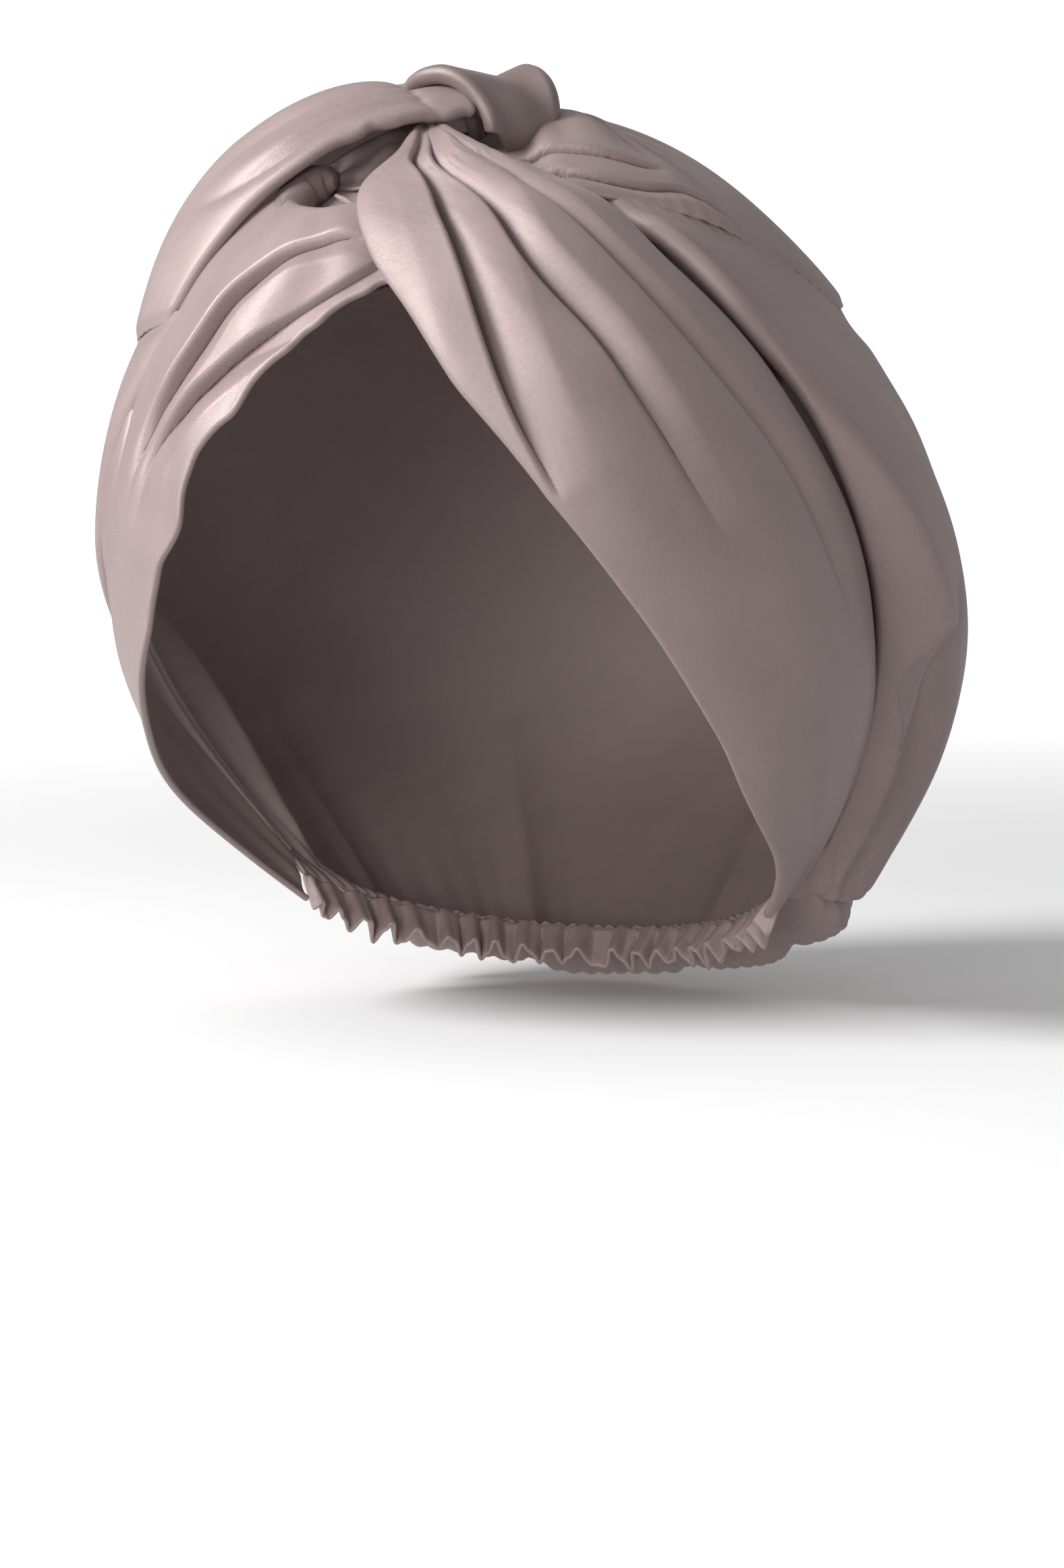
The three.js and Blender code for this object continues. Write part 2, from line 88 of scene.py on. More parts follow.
RIGHT_WRAP = table(WRAP_COLUMNS, [
    (0.00, 6, 37, 1.2, 0, 52, 1.2, 1),
    (0.08, 2, 37.5, 1.4, -4, 54, 1.5, 3.5),
    (0.18, -4, 33.5, 1.4, -12, 55, 2.5, 5),
    (0.28, -9.5, 28.5, 1.4, -20, 53, 3, 5),
    (0.40, -17, 19.5, 1.4, -31, 45, 3, 5),
    (0.50, -23.5, 12.5, 1.4, -41, 34, 1.6, 5),
    (0.60, -26.5, 3, 1.4, -48, 22, 1.2, 5),
    (0.70, -33, -4.5, 1.4, -53, 9, 1.2, 5),
    (0.80, -43, -17, 1.4, -62, -4, 2.6, 2.5),
    (0.90, -66, -36, 1.4, -84, -24, 2, 1.2),
    (1.00, -112, -55, 1.4, -113, -48.5, 1.4, 0),
])
SWELL_POWER = 0.85

# Top panel, round the knot: strands from the rim under the loop to the seam
CROWN_TOP = table("turn rim_az rim_el rim_lift seam_az seam_el seam_lift swell", [
    (0.000, 6, 64, 9.5, -34, 31.5, 8, 0),
    (0.025, -2, 67, 13, -42, 30.5, 8.5, 4),
    (0.060, -14, 70.5, 14, -53, 29.5, 8.5, 5.5),
    (0.140, -30, 74, 13.5, -75, 29, 8.5, 5.5),
    (0.260, -48, 79.5, 7, -110, 31, 9, 6),
    (0.380, -33, 83, 5.5, -145, 33.5, 9, 3),
    (0.500, -3.5, 86.1, 5.5, -180, 36, 9, 1),
    (0.620, 58, 85.5, 5.5, -214, 36, 9.5, 0),
    (0.740, 83, 81.5, 5, -247, 34, 10, -1),
    (0.830, 71, 77.5, 5, -274, 43.5, 9.5, 0),
    (0.920, 53, 75, 6.5, -300, 51.5, 8, 1),
    (0.970, 43.5, 72, 7, -319, 54, 6, 0),
    (0.982, 37, 72, 6, -323.5, 53.5, 4.5, 0),
    (0.990, 32, 72, 2, -328, 53, 1.8, 0),
    (1.000, 26, 72, 1.2, -333, 52.5, 1.2, 0),
    (1.060, -2, 67, 1.2, -347, 54, 1.2, 0),
])
CROWN_TURNS = 1.06
CROWN_SWELL_POWER = 0.7

# The bag: how far it stands off the head at each height, and how it meets its neighbours
BAG = table("el lift", [
    (-60, 18), (-54, 20), (-45, 21.5), (-36, 24), (-26, 26), (-14, 25.5),
    (-2, 22), (12, 17), (24, 12), (36, 8.5), (60, 7),
])
BAG_RIGHT_SHARES = (0.1, 0.28)
BAG_RIGHT_ELS = (-25, 2)
BAG_RIGHT_LIFTS = (4.6, 7.5)
BAG_LEFT = table("drop start full lip radius power", [
    (0, 0.047, 0.062, 7, 2, 3), (0.1, 0.049, 0.064, 8.5, 2.2, 3), (0.2, 0.051, 0.066, 9.8, 2.2, 3),
    (0.3, 0.050, 0.066, 10.8, 2.2, 3), (0.4, 0.0435, 0.062, 11, 1.8, 3), (0.5, 0.041, 0.066, 11, 1.4, 3),
    (0.6, 0.0455, 0.088, 10.5, 1.2, 2.6), (0.7, 0.054, 0.104, 10, 1.2, 2), (0.8, 0.054, 0.115, 9.5, 1.4, 1.6),
    (0.9, 0.047, 0.110, 8.5, 1.2, 1.5), (1, 0, 0.040, 3, 1, 1.5),
])
BAG_LIP_TURN = 200.0
BAG_UNDERLAP, UNDERLAP_CELLS, UNDERLAP_LIFT = 0.006, 10, 1.2
BAG_RIGHT_TUCK = 0.015
BAG_SEAM_BLEND = 0.12
BAG_SAG, BAG_SAG_LATENESS, BAG_SAG_SQUARENESS = 5.5, 6, 0.5
HEM_AZ, HEM_EL, HEM_DIP, HEM_FLATNESS, HEM_LIFT = 116, -51, 3, 4, 2.5
HEM_TURN = 0.07
EDGE_CLOSENESS = 3
LEFT_EDGE_FROM, LEFT_EDGE_ACROSS = 0.2, 0.78
RIGHT_EDGE_FROM, RIGHT_EDGE_ACROSS = 0.47, 0.96


def spline(xs, ys, x):
    """Smooth curve through points, with the slope of its neighbours at each."""
    last = len(xs) - 1
    i = np.clip(np.searchsorted(xs, x, side="right") - 1, 0, last - 1)
    before = np.maximum(np.arange(last + 1) - 1, 0)
    after = np.minimum(np.arange(last + 1) + 1, last)
    slope = (ys[after] - ys[before]) / (xs[after] - xs[before])
    step = xs[i + 1] - xs[i]
    t = (x - xs[i]) / step
    start = ys[i] * (1 + 2 * t) * (1 - t) ** 2 + slope[i] * step * t * (1 - t) ** 2
    end = ys[i + 1] * (3 - 2 * t) * t ** 2 + slope[i + 1] * step * (t - 1) * t ** 2
    return start + end


def smooth(rows, column, x):
    order = next(iter(rows))
    return spline(rows[order], rows[column], x)


def curves(rows, x):
    """All the columns of a table as smooth curves, at x."""
    return {column: smooth(rows, column, x) for column in list(rows)[1:]}


def smoothstep(x, low, high):
    t = np.clip((x - low) / (high - low), 0, 1)
    return t * t * (3 - 2 * t)


def mix(a, b, share):
    return a + (b - a) * share


def unit(v):
    return v / np.maximum(np.linalg.norm(v, axis=-1, keepdims=True), TINY)


def direction(az, el):
    """Azimuth 0 is the face and grows towards the wearer's left."""
    a, e = np.radians(az), np.radians(el)
    return np.stack([np.sin(a) * np.cos(e), -np.cos(a) * np.cos(e), np.sin(e)], -1)


def between(rows, first, second, x, share):
    """Directions on a sheet that spans two edges, each of them a pair of columns in its table."""
    at = curves(rows, x)
    edges = [direction(at[edge + "_az"], at[edge + "_el"]) for edge in (first, second)]
    return unit(mix(*edges, np.asarray(share)[..., None]))


def head_radius(d):
    length = np.where(d[..., 1] < 0, HEAD_FRONT, HEAD_BACK)
    height = np.where(d[..., 2] > 0, HEAD_TOP, HEAD_BOTTOM)
    return 1 / np.sqrt((d[..., 0] / HEAD_HALF_WIDTH) ** 2 + (d[..., 1] / length) ** 2 + (d[..., 2] / height) ** 2)


def lifted(d, lift):
    return d * (head_radius(d) + np.maximum(lift, LEAST_LIFT))[..., None]


def grid(cells_u, cells_v, u=(0, 1), v=(0, 1)):
    return np.meshgrid(np.linspace(*u, cells_u + 1), np.linspace(*v, cells_v + 1), indexing="ij")


# Folds

CREASE_SAMPLES = 240
CREASE_SHARPNESS = 2
LEAST_REACH, LEAST_DEPTH = 0.1, 0.1
LEAN_REACH = 5.0
SHOULDER_REACH = 12.0


def arc(points, axis):
    """Length travelled along a grid of points."""
    step = np.linalg.norm(np.diff(points, axis=axis), axis=-1)
    return np.concatenate([np.zeros_like(step.take([0], axis)), np.cumsum(step, axis)], axis)


def to_last_column(points):
    """Length still to go along each row of a grid."""
    gone = arc(points, 1)
    return gone[:, -1:] - gone


def crease(d, place, rows, lean, ramp):
    """A crease in the sheet of directions d: how deep it cuts in, and how far its left wall leans over it.

    Each row is a place on the sheet, the depth there, the crease's reach to its left and right as it runs, and
    the depth of the gentle shoulder to its left."""
    rows = np.array(rows, float)
    stops = arc(place(rows[:, 0], rows[:, 1]), 0)
    at = np.linspace(0, stops[-1], CREASE_SAMPLES)
    a, b, depth, left, right, shoulder = (spline(stops, column, at) for column in rows.T)
    line = place(a, b)
    run = unit(np.gradient(line, axis=0))
    across = np.cross(line, run)
    points = d.reshape(-1, 3)
    nearest = (points @ line.T).argmax(1)
    offset = points - line[nearest]
    inside = (nearest > 0) & (nearest < CREASE_SAMPLES - 1)
    forward = np.einsum("ij,ij->i", offset, run[nearest]) * inside
    offset = offset - forward[:, None] * run[nearest]
    on_left = np.einsum("ij,ij->i", offset, across[nearest]) < 0
    reach = np.maximum(np.where(on_left, left[nearest], right[nearest]), LEAST_REACH)
    away = np.linalg.norm(offset, axis=1) * head_radius(points)
    wall = np.clip(1 - away / reach, 0, 1) ** np.where(on_left, CREASE_SHARPNESS, ramp)
    slope = np.where(on_left, np.clip(1 - away / SHOULDER_REACH, 0, 1) ** CREASE_SHARPNESS, wall)
    sink = np.maximum(depth[nearest], 0) * wall + np.maximum(shoulder[nearest], 0) * slope
    full = np.maximum(depth, 0) / max(depth.max(), LEAST_DEPTH)
    shove = lean * full[nearest] * on_left * (1 - wall) * (1 - smoothstep(away / reach, 1, LEAN_REACH))
    return sink.reshape(d.shape[:-1]), (shove[:, None] * across[nearest]).reshape(d.shape)


def folded(d, lift, place, creases, leans=0.0, ramps=CREASE_SHARPNESS):
    """A sheet's lift with these creases cut into it, and how far their left walls lean over."""
    count = len(creases)
    lean = np.zeros_like(d)
    for rows, over, ramp in zip(creases, np.broadcast_to(leans, count), np.broadcast_to(ramps, count)):
        sink, shove = crease(d, place, rows, over, ramp)
        lift, lean = lift - sink, lean + shove
    return lift, lean


def bump(d, az, el, reach, floor=0.0):
    """1 within a spot on the head, falling to 0 at its reach in millimetres."""
    away = np.linalg.norm(d - direction(az, el), axis=-1) * head_radius(d)
    return 1 - smoothstep(away, floor * reach, reach)


def ripple(a, b, waves):
    """Soft unevenness: a sum of slanting waves, each given as turns along a and b, phase and height."""
    return sum(height * np.sin(2 * np.pi * (fa * a + fb * b) + phase) for fa, fb, phase, height in waves)


def drifting(x, turns, drifts):
    """The phase of an uneven wave: even turns along x, set off by slower waves of this size, speed and start."""
    return 2 * np.pi * turns * x + sum(size * np.sin(speed * x + start) for size, speed, start in drifts)


FOLD_CELLS, FOLD_TURN = 7, 170.0


def turned_under(points, radius, turn=FOLD_TURN):
    """Adds a fold along the last column: the cloth rolls under with this radius."""
    edge = points[:, -1]
    out = unit(points[:, -1] - points[:, -3])
    along = np.gradient(edge, axis=0)
    normal = unit(np.cross(along, out))
    normal *= np.sign(np.einsum("ij,ij->i", normal, edge))[:, None]
    radius = np.broadcast_to(radius, len(edge))[:, None]
    angles = np.radians(np.linspace(0, turn, FOLD_CELLS + 1))[1:]
    rolled = [edge + radius * (np.sin(k) * out - (1 - np.cos(k)) * normal) for k in angles]
    return np.concatenate([points, np.stack(rolled, 1)], 1)


def first_row_under(points, radius, turn=FOLD_TURN):
    """The same fold along the first row."""
    return turned_under(points.transpose(1, 0, 2)[:, ::-1], radius, turn)[:, ::-1].transpose(1, 0, 2)


# Meshes

RIM_ANGLES = (45, 90, 135)
EVEN_POWERS = 5
# Lobes round a tube, the half turns that they make along it, and their height
TUBE_TWISTS = [(2, 3, 0.05), (3, -4, 0.03)]


def linked(name, data):
    """A new object in the scene."""
    obj = bpy.data.objects.new(name, data)
    bpy.context.scene.collection.objects.link(obj)
    return obj


def evened(lengths):
    """Lengths along neighbouring threads with the creases' short changes from one to the next taken out."""
    powers = np.vander(np.linspace(-1, 1, len(lengths)), EVEN_POWERS)
    return powers @ np.linalg.lstsq(powers, lengths, rcond=None)[0]


def cloth(name, points, materials, outward=None):
    """A closed sheet of cloth: a grid of points thickened to both sides, with rounded edges.

    outward is the way out at each point, where that isn't the way from the head's middle."""
    nu, nv = points.shape[:2]
    du, dv = np.gradient(points, axis=0), np.gradient(points, axis=1)
    normal = unit(np.cross(du, dv))
    facing = np.sign(np.einsum("ijk,ijk->ij", normal, points if outward is None else outward).mean())
    normal = normal * facing
    half = CLOTH / 2
    index = np.arange(nu * nv).reshape(nu, nv)
    border = np.concatenate([index[0, :-1], index[:-1, -1], index[-1, :0:-1], index[:0:-1, 0]])
    leave = np.zeros_like(points)
    leave[0] -= unit(du[0])
    leave[-1] += unit(du[-1])
    leave[:, 0] -= unit(dv[:, 0])
    leave[:, -1] += unit(dv[:, -1])
    flat, up, leave = (x.reshape(-1, 3) for x in (points, normal, leave))
    rim_out = unit(leave[border])
    layers = [flat + half * up, flat - half * up]
    rims = []
    for angle in np.radians(RIM_ANGLES):
        rims.append(flat[border] + half * (np.cos(angle) * up[border] + np.sin(angle) * rim_out))
    positions = np.concatenate(layers + rims)
    weave = np.stack([evened(arc(points, 0).T).T, evened(arc(points, 1))], -1).reshape(-1, 2) * MM
    uvs = np.concatenate([weave, weave] + [weave[border]] * len(rims))

    quads = np.stack([index[:-1, :-1], index[1:, :-1], index[1:, 1:], index[:-1, 1:]], -1).reshape(-1, 4)
    outer = quads if facing > 0 else quads[:, ::-1]
    inner = outer[:, ::-1] + nu * nv
    count = len(border)
    first = 2 * nu * nv
    rings = [border] + [first + k * count + np.arange(count) for k in range(len(rims))] + [border + nu * nv]
    rim_faces = []
    for a, b in zip(rings, rings[1:]):
        ring = np.stack([a, np.roll(a, -1), np.roll(b, -1), b], -1)
        rim_faces.append(ring if facing > 0 else ring[:, ::-1])
    faces = np.concatenate([outer, inner] + rim_faces)
    slots = np.zeros(len(faces), int)
    slots[len(outer):len(outer) + len(inner)] = len(materials) - 1
    return mesh_piece(name, positions, faces.tolist(), uvs, slots, materials)


def tube(name, path, radii, sides, materials):
    """A closed roll of cloth along a path of points, with low lobes that wind round it."""
    count = len(path)
    tangent = unit(np.gradient(path, axis=0))
    normal = unit(path - np.einsum("ij,ij->i", path, tangent)[:, None] * tangent)
    binormal = np.cross(tangent, normal)
    angle = np.linspace(0, 2 * np.pi, sides, endpoint=False)
    ring = np.cos(angle)[None, :, None] * normal[:, None] + np.sin(angle)[None, :, None] * binormal[:, None]
    along = np.linspace(0, 1, count)[:, None]
    lobed = 1 + sum(height * np.sin(lobes * angle + turns * np.pi * along) for lobes, turns, height in TUBE_TWISTS)
    positions = (path[:, None] + (radii[:, None] * lobed)[..., None] * ring).reshape(-1, 3)
    positions = np.concatenate([positions, path[[0, -1]]])
    here = np.arange(count * sides).reshape(count, sides)
    after = np.roll(here, -1, 1)
    quads = np.stack([here[:-1], after[:-1], after[1:], here[1:]], -1).reshape(-1, 4)
    caps = [(count * sides, after[0, k], here[0, k]) for k in range(sides)]
    caps += [(count * sides + 1, here[-1, k], after[-1, k]) for k in range(sides)]
    faces = quads.tolist() + caps
    weave = np.stack(np.broadcast_arrays(arc(path, 0)[:, None], radii[:, None] * angle), -1).reshape(-1, 2) * MM
    uvs = np.concatenate([weave, weave[[0, -1]]])
    return mesh_piece(name, positions, faces, uvs, np.zeros(len(faces), int), materials)


def mesh_piece(name, positions, faces, uvs, slots, materials):
    """A smooth mesh from points round the head's middle, moved into the part's frame."""
    placed = (positions - np.array([0, 0, HEAD_TOP])) * MM
    mesh = bpy.data.meshes.new(name)
    mesh.from_pydata(placed.tolist(), [], faces)
    corners = np.empty(len(mesh.loops), int)
    mesh.loops.foreach_get("vertex_index", corners)
    layer = mesh.uv_layers.new(name="weave")
    layer.data.foreach_set("uv", uvs[corners].ravel())
    for material in materials:
        mesh.materials.append(material)
    mesh.polygons.foreach_set("material_index", slots.tolist())
    mesh.polygons.foreach_set("use_smooth", [True] * len(mesh.polygons))
    mesh.update()
    return linked(name, mesh)


# Materials

# The weave, in metres. The wave texture's bands are WAVE_PERIOD apart at a scale of 1, and the twill's lines, which it
# distorts, come out about twice as far apart as the nominal period
TWILL_PERIOD = 0.00022
WAVE_PERIOD = 0.2 * math.pi
TWILL_DISTORTION, TWILL_DETAIL, TWILL_DETAIL_SCALE = 2.0, 2, 1.2
THREAD_SIZE, THREAD_SLANT, THREAD_DETAIL = (0.0002, 0.001, 1), 45, 2
THREAD_SHARE = 0.65
WEAVE_BUMP, WEAVE_DEPTH = 0.6, 0.00006
# Patches of tone and gloss, and small crumples
TONE_SCALE, TONE_DETAIL = 55, 3
TONE_RANGE, TONE_SHADES = (0.3, 0.7), (0.94, 1.05)
GLOSS_RANGE = (-0.05, 0.07)
CRUMPLE_SCALE, CRUMPLE_DETAIL = 140, 2
CRUMPLE_BUMP, CRUMPLE_DEPTH = 0.12, 0.001
SHEEN_COLOUR = (1.0, 0.86, 0.84, 1)
SATIN_GLOSS = {
    "Anisotropic": 0.5,
    "Sheen Roughness": 0.35,
    "Sheen Tint": SHEEN_COLOUR,
    "IOR": 1.8,
    "Specular IOR Level": 0.55,
    "Specular Tint": SHEEN_COLOUR,
}
# A colour mix's sockets share their names with those of its other kinds, so they go by number
MIX_A, MIX_B, MIX_RESULT = 6, 7, 2


def add_node(tree, kind, values=(), links=(), **settings):
    """A new shader node: its settings, the values of its inputs, and the outputs that lead to them."""
    node = tree.nodes.new("ShaderNode" + kind)
    for name, setting in settings.items():
        setattr(node, name, setting)
    for socket, value in dict(values).items():
        node.inputs[socket].default_value = value
    for socket, output in dict(links).items():
        tree.links.new(output, node.inputs[socket])
    return node


def new_material(name, values):
    """A material with these values on its shader, and a way to add its nodes."""
    material = bpy.data.materials.new(name)
    material.use_nodes = True
    shader = material.node_tree.nodes["Principled BSDF"]
    for socket, value in values.items():
        shader.inputs[socket].default_value = value
    return material, shader, partial(add_node, material.node_tree)


def satin(name, colour, roughness, weave, sheen):
    """Satin: anisotropic sheen along the threads, a fine diagonal twill and slight unevenness in its tone."""
    material, shader, add = new_material(name, {**SATIN_GLOSS, "Sheen Weight": sheen})
    place = {"Vector": add("UVMap", uv_map="weave").outputs["UV"]}
    tangent = add("Tangent", direction_type="UV_MAP", uv_map="weave")

    tone = add("TexNoise", {"Scale": TONE_SCALE, "Detail": TONE_DETAIL}, place)
    shades = add("ValToRGB", links={"Fac": tone.outputs["Fac"]})
    for k, (position, shade) in enumerate(zip(TONE_RANGE, TONE_SHADES)):
        shades.color_ramp.elements[k].position = position
        shades.color_ramp.elements[k].color = [shade * c for c in colour] + [1]
    low, high = (roughness + change for change in GLOSS_RANGE)
    gloss = add("MapRange", {"To Min": low, "To Max": high}, {"Value": tone.outputs["Fac"]})

    twill = add("TexWave", {
        "Scale": WAVE_PERIOD / (TWILL_PERIOD * math.sqrt(2)),
        "Distortion": TWILL_DISTORTION,
        "Detail": TWILL_DETAIL,
        "Detail Scale": TWILL_DETAIL_SCALE,
    }, place, wave_type="BANDS", bands_direction="DIAGONAL")
    slanted = {"Rotation": (0, 0, math.radians(THREAD_SLANT)), "Scale": THREAD_SIZE}
    slant = add("Mapping", slanted, place, vector_type="TEXTURE")
    threads = add("TexNoise", {"Scale": 1, "Detail": THREAD_DETAIL}, {"Vector": slant.outputs["Vector"]})
    yarn = add("Mix", {"Factor": THREAD_SHARE}, {"A": twill.outputs["Fac"], "B": threads.outputs["Fac"]})
    coloured = {MIX_A: shades.outputs["Color"], MIX_B: yarn.outputs["Result"]}
    woven = add("Mix", {"Factor": weave}, coloured, data_type="RGBA", blend_type="MULTIPLY")

    crumple = add("TexNoise", {"Scale": CRUMPLE_SCALE, "Detail": CRUMPLE_DETAIL}, place)
    soft = add("Bump", {"Strength": CRUMPLE_BUMP, "Distance": CRUMPLE_DEPTH}, {"Height": crumple.outputs["Fac"]})
    raised = {"Height": yarn.outputs["Result"], "Normal": soft.outputs["Normal"]}
    fine = add("Bump", {"Strength": WEAVE_BUMP, "Distance": WEAVE_DEPTH}, raised)

    for socket, output in {
        "Base Color": woven.outputs[MIX_RESULT],
        "Roughness": gloss.outputs["Result"],
        "Normal": fine.outputs["Normal"],
        "Tangent": tangent.outputs["Tangent"],
    }.items():
        material.node_tree.links.new(output, shader.inputs[socket])
    return material


face_satin = satin("mauve_satin", colour=(0.38, 0.286, 0.281), roughness=0.45, weave=0.55, sheen=0.12)
# A darker copy of the face satin: painted shade for the loop and the tucked ends, which lie in shadow
shaded_satin = satin("mauve_satin_painted_shade", colour=(0.225, 0.168, 0.164), roughness=0.42, weave=0.55, sheen=0.12)
# The satin's reverse side is duller by its own make. It is also darker than the face as painted shade for the bonnet's
# inside
shaded_back_satin = satin("satin_reverse_shaded", colour=(0.32, 0.247, 0.24), roughness=0.6, weave=0.2, sheen=0.1)
casing_satin = satin("casing_satin", colour=(0.42, 0.315, 0.305), roughness=0.42, weave=0.18, sheen=0.2)


# Side panels

left_place = partial(between, LEFT_WRAP, "fore", "aft")
right_place = partial(between, RIGHT_WRAP, "fore", "aft")

# Pleats of the left panel, from the front: a flap over a sharp shadow, a steep-backed pleat and a shallow one
LEFT_CREASES = [
    [(0.02, 0.25, 0, 0.8, 2, 0), (0.05, 0.27, 1.2, 0.8, 3, 0), (0.09, 0.32, 2.4, 0.9, 4.5, 0),
     (0.15, 0.39, 4.5, 1, 7, 0), (0.22, 0.32, 6.5, 1.1, 9, 0), (0.315, 0.22, 7.5, 1.2, 11, 0),
     (0.39, 0.15, 6.5, 1.4, 12, 0), (0.45, 0.10, 4, 1.8, 11, 0), (0.53, 0.04, 0, 2, 9, 0)],
    [(0.02, 0.50, 0, 0.8, 2, 0), (0.05, 0.50, 1, 0.8, 3, 0.2), (0.09, 0.52, 2.2, 0.9, 4, 0.5),
     (0.155, 0.54, 4.5, 1, 6, 1.2), (0.228, 0.52, 6, 1.1, 7.5, 2), (0.325, 0.45, 6, 1.2, 8, 2.2),
     (0.435, 0.47, 4.6, 1.6, 7.5, 1.6), (0.51, 0.43, 3, 2.4, 7, 1), (0.58, 0.40, 1.6, 4, 6, 0.5),
     (0.655, 0.375, 0, 5, 6, 0)],
    [(0.02, 0.78, 0, 0.8, 2, 0), (0.06, 0.80, 1, 0.8, 2.5, 0.2), (0.10, 0.81, 1.8, 0.9, 3, 0.5),
     (0.143, 0.81, 2.8, 1, 4, 1), (0.228, 0.73, 3.5, 1.1, 5, 1.2), (0.33, 0.72, 3.5, 1.1, 5.5, 1.2),
     (0.43, 0.72, 3.2, 1.1, 6, 1), (0.54, 0.70, 2.6, 1.2, 6, 0.8), (0.645, 0.73, 1.8, 1.3, 6, 0.4),
     (0.76, 0.70, 0, 2, 5, 0)],
]
PLEAT_RAMP = 1.3
LEFT_LEANS = (2.4, 1.8, 1.2)
LEFT_CELLS = (200, 200)
LEFT_FORE_FOLD, LEFT_AFT_FOLD = 0.7, 1.5
LEFT_INSET = 0.02
LEFT_WAVES = [(3.1, 1.2, 0.4, 0.25), (5.3, -1.7, 1.9, 0.2), (1.7, 2.9, 4.0, 0.2)]


def left_points():
    along, across = grid(*LEFT_CELLS, v=(LEFT_INSET, 1 - LEFT_INSET))
    d = left_place(along, across)
    at = curves(LEFT_WRAP, along)
    hump = (4 * across * (1 - across)) ** SWELL_POWER
    lift = mix(at["fore_lift"], at["aft_lift"], across) + at["swell"] * hump
    lift, lean = folded(d, lift, left_place, LEFT_CREASES, LEFT_LEANS, PLEAT_RAMP)
    lift += ripple(along, across, LEFT_WAVES)
    points = turned_under(lifted(d, lift) + lean, LEFT_AFT_FOLD)
    return turned_under(points[:, ::-1], LEFT_FORE_FOLD)


# The right panel: two creases along its length, a shallow one behind them, and the hollow under the knot
RIGHT_CREASES = [
    [(6, 43.5, 0, 1.8, 3, 0), (-2.3, 37.6, 2.6, 1.8, 4.5, 0), (-12.1, 30.9, 4, 1.8, 6, 0),
     (-21.8, 24, 4, 1.8, 6, 0), (-27, 19.5, 3.4, 2.2, 6, 0), (-32.3, 13.5, 2, 3, 6, 0),
     (-34.5, 6.7, 1, 5, 7, 0), (-37, 0, 0, 6, 8, 0)],
    [(0, 43.5, 0, 1.8, 3, 0), (-10.3, 41.6, 2.8, 1.8, 5, 0), (-17.1, 39.2, 3.8, 1.8, 6, 0),
     (-22.8, 34.8, 4.8, 1.8, 6.5, 0), (-26.9, 28.4, 5, 1.8, 6.5, 0), (-30.8, 22.8, 4.6, 2, 6, 0),
     (-33.6, 18.4, 3.4, 2.4, 6, 0), (-35.5, 13, 2, 4, 7, 0), (-38, 4, 0, 6, 8, 0)],
    [(-40, 36, 0, 3, 5, 0), (-43.2, 31.8, 1.6, 3, 6, 0), (-44.6, 25.8, 2, 3, 7, 0), (-44.5, 19.4, 2, 3, 7, 0),
     (-44.5, 13, 1.6, 4, 7, 0), (-46, 5, 0.8, 5, 7, 0), (-49, -6, 0, 6, 7, 0)],
]
RIGHT_LEAN = 0.8
RIGHT_CELLS = (220, 130)
RIGHT_FORE_FOLD = 0.45
RIGHT_RISE = 0.5
RIGHT_INSET = 0.03
RIGHT_UNDERLAP, RIGHT_UNDERLAP_END = (0.4, 0.03), (0.3, 0.45)
RIGHT_EDGE_WAVES = [(6.1, 0, 0.6, 0.009), (10.7, 0, 2.1, 0.006), (17.3, 0, 4.0, 0.003)]
RIGHT_WAVES = [(6.3, 0.6, 0.4, 0.2), (9.1, -1.1, 1.0, 0.15), (3.2, 2.6, 2.4, 0.2)]
HOLLOW_DEPTH, HOLLOW_AT, HOLLOW_REACH, HOLLOW_FLOOR = 9, (-14, 54.5), 12.0, 0.65


def right_points():
    along, share = grid(*RIGHT_CELLS)
    across = mix(RIGHT_INSET + ripple(along, share, RIGHT_EDGE_WAVES), 1, share)
    d = right_place(along, across)
    at = curves(RIGHT_WRAP, along)
    lift = mix(at["fore_lift"], at["aft_lift"], across) + at["swell"] * smoothstep(across, 0, RIGHT_RISE)
    lift, lean = folded(d, lift, direction, RIGHT_CREASES, RIGHT_LEAN, PLEAT_RAMP)
    lift -= HOLLOW_DEPTH * bump(d, *HOLLOW_AT, HOLLOW_REACH, HOLLOW_FLOOR)
    lift += ripple(along, across, RIGHT_WAVES)
    past = np.linspace(0, 1, UNDERLAP_CELLS)[1:]
    along = along[:, :1]
    reach = mix(*RIGHT_UNDERLAP, smoothstep(along, *RIGHT_UNDERLAP_END))
    underlap = lifted(right_place(along + 0 * past, 1 + reach * past), mix(lift[:, -1:], UNDERLAP_LIFT, past))
    points = np.concatenate([lifted(d, lift) + lean, underlap], 1)
    return turned_under(points[:, ::-1], RIGHT_FORE_FOLD)


# The crown's top

top_place = partial(between, CROWN_TOP, "rim", "seam")

# Creases that run out from the knot, by turn and share, and those of the loose cloth to its left, by direction
TOP_CREASES = [
    [(0.028, 0.0, 1.5, 2, 2, 0), (0.028, 0.145, 3, 2.2, 3, 0), (0.028, 0.3, 3.6, 2.5, 3.5, 0),
     (0.027, 0.42, 3.4, 3, 4, 0), (0.029, 0.5, 2.6, 4, 4, 0), (0.036, 0.575, 1.5, 5, 5, 0),
     (0.05, 0.64, 0, 5, 5, 0)],
    [(0.0205, 0.0, 1, 1, 1, 0), (0.0205, 0.15, 1.2, 1.2, 1.2, 0), (0.0205, 0.3, 1, 1.2, 1.4, 0),
     (0.0205, 0.42, 0, 1.5, 1.5, 0)],
    [(0.04, 0.0, 1.5, 2, 2, 0), (0.041, 0.15, 1.6, 2.5, 3, 0), (0.042, 0.26, 1, 3, 4, 0), (0.043, 0.38, 0, 4, 5, 0)],
]
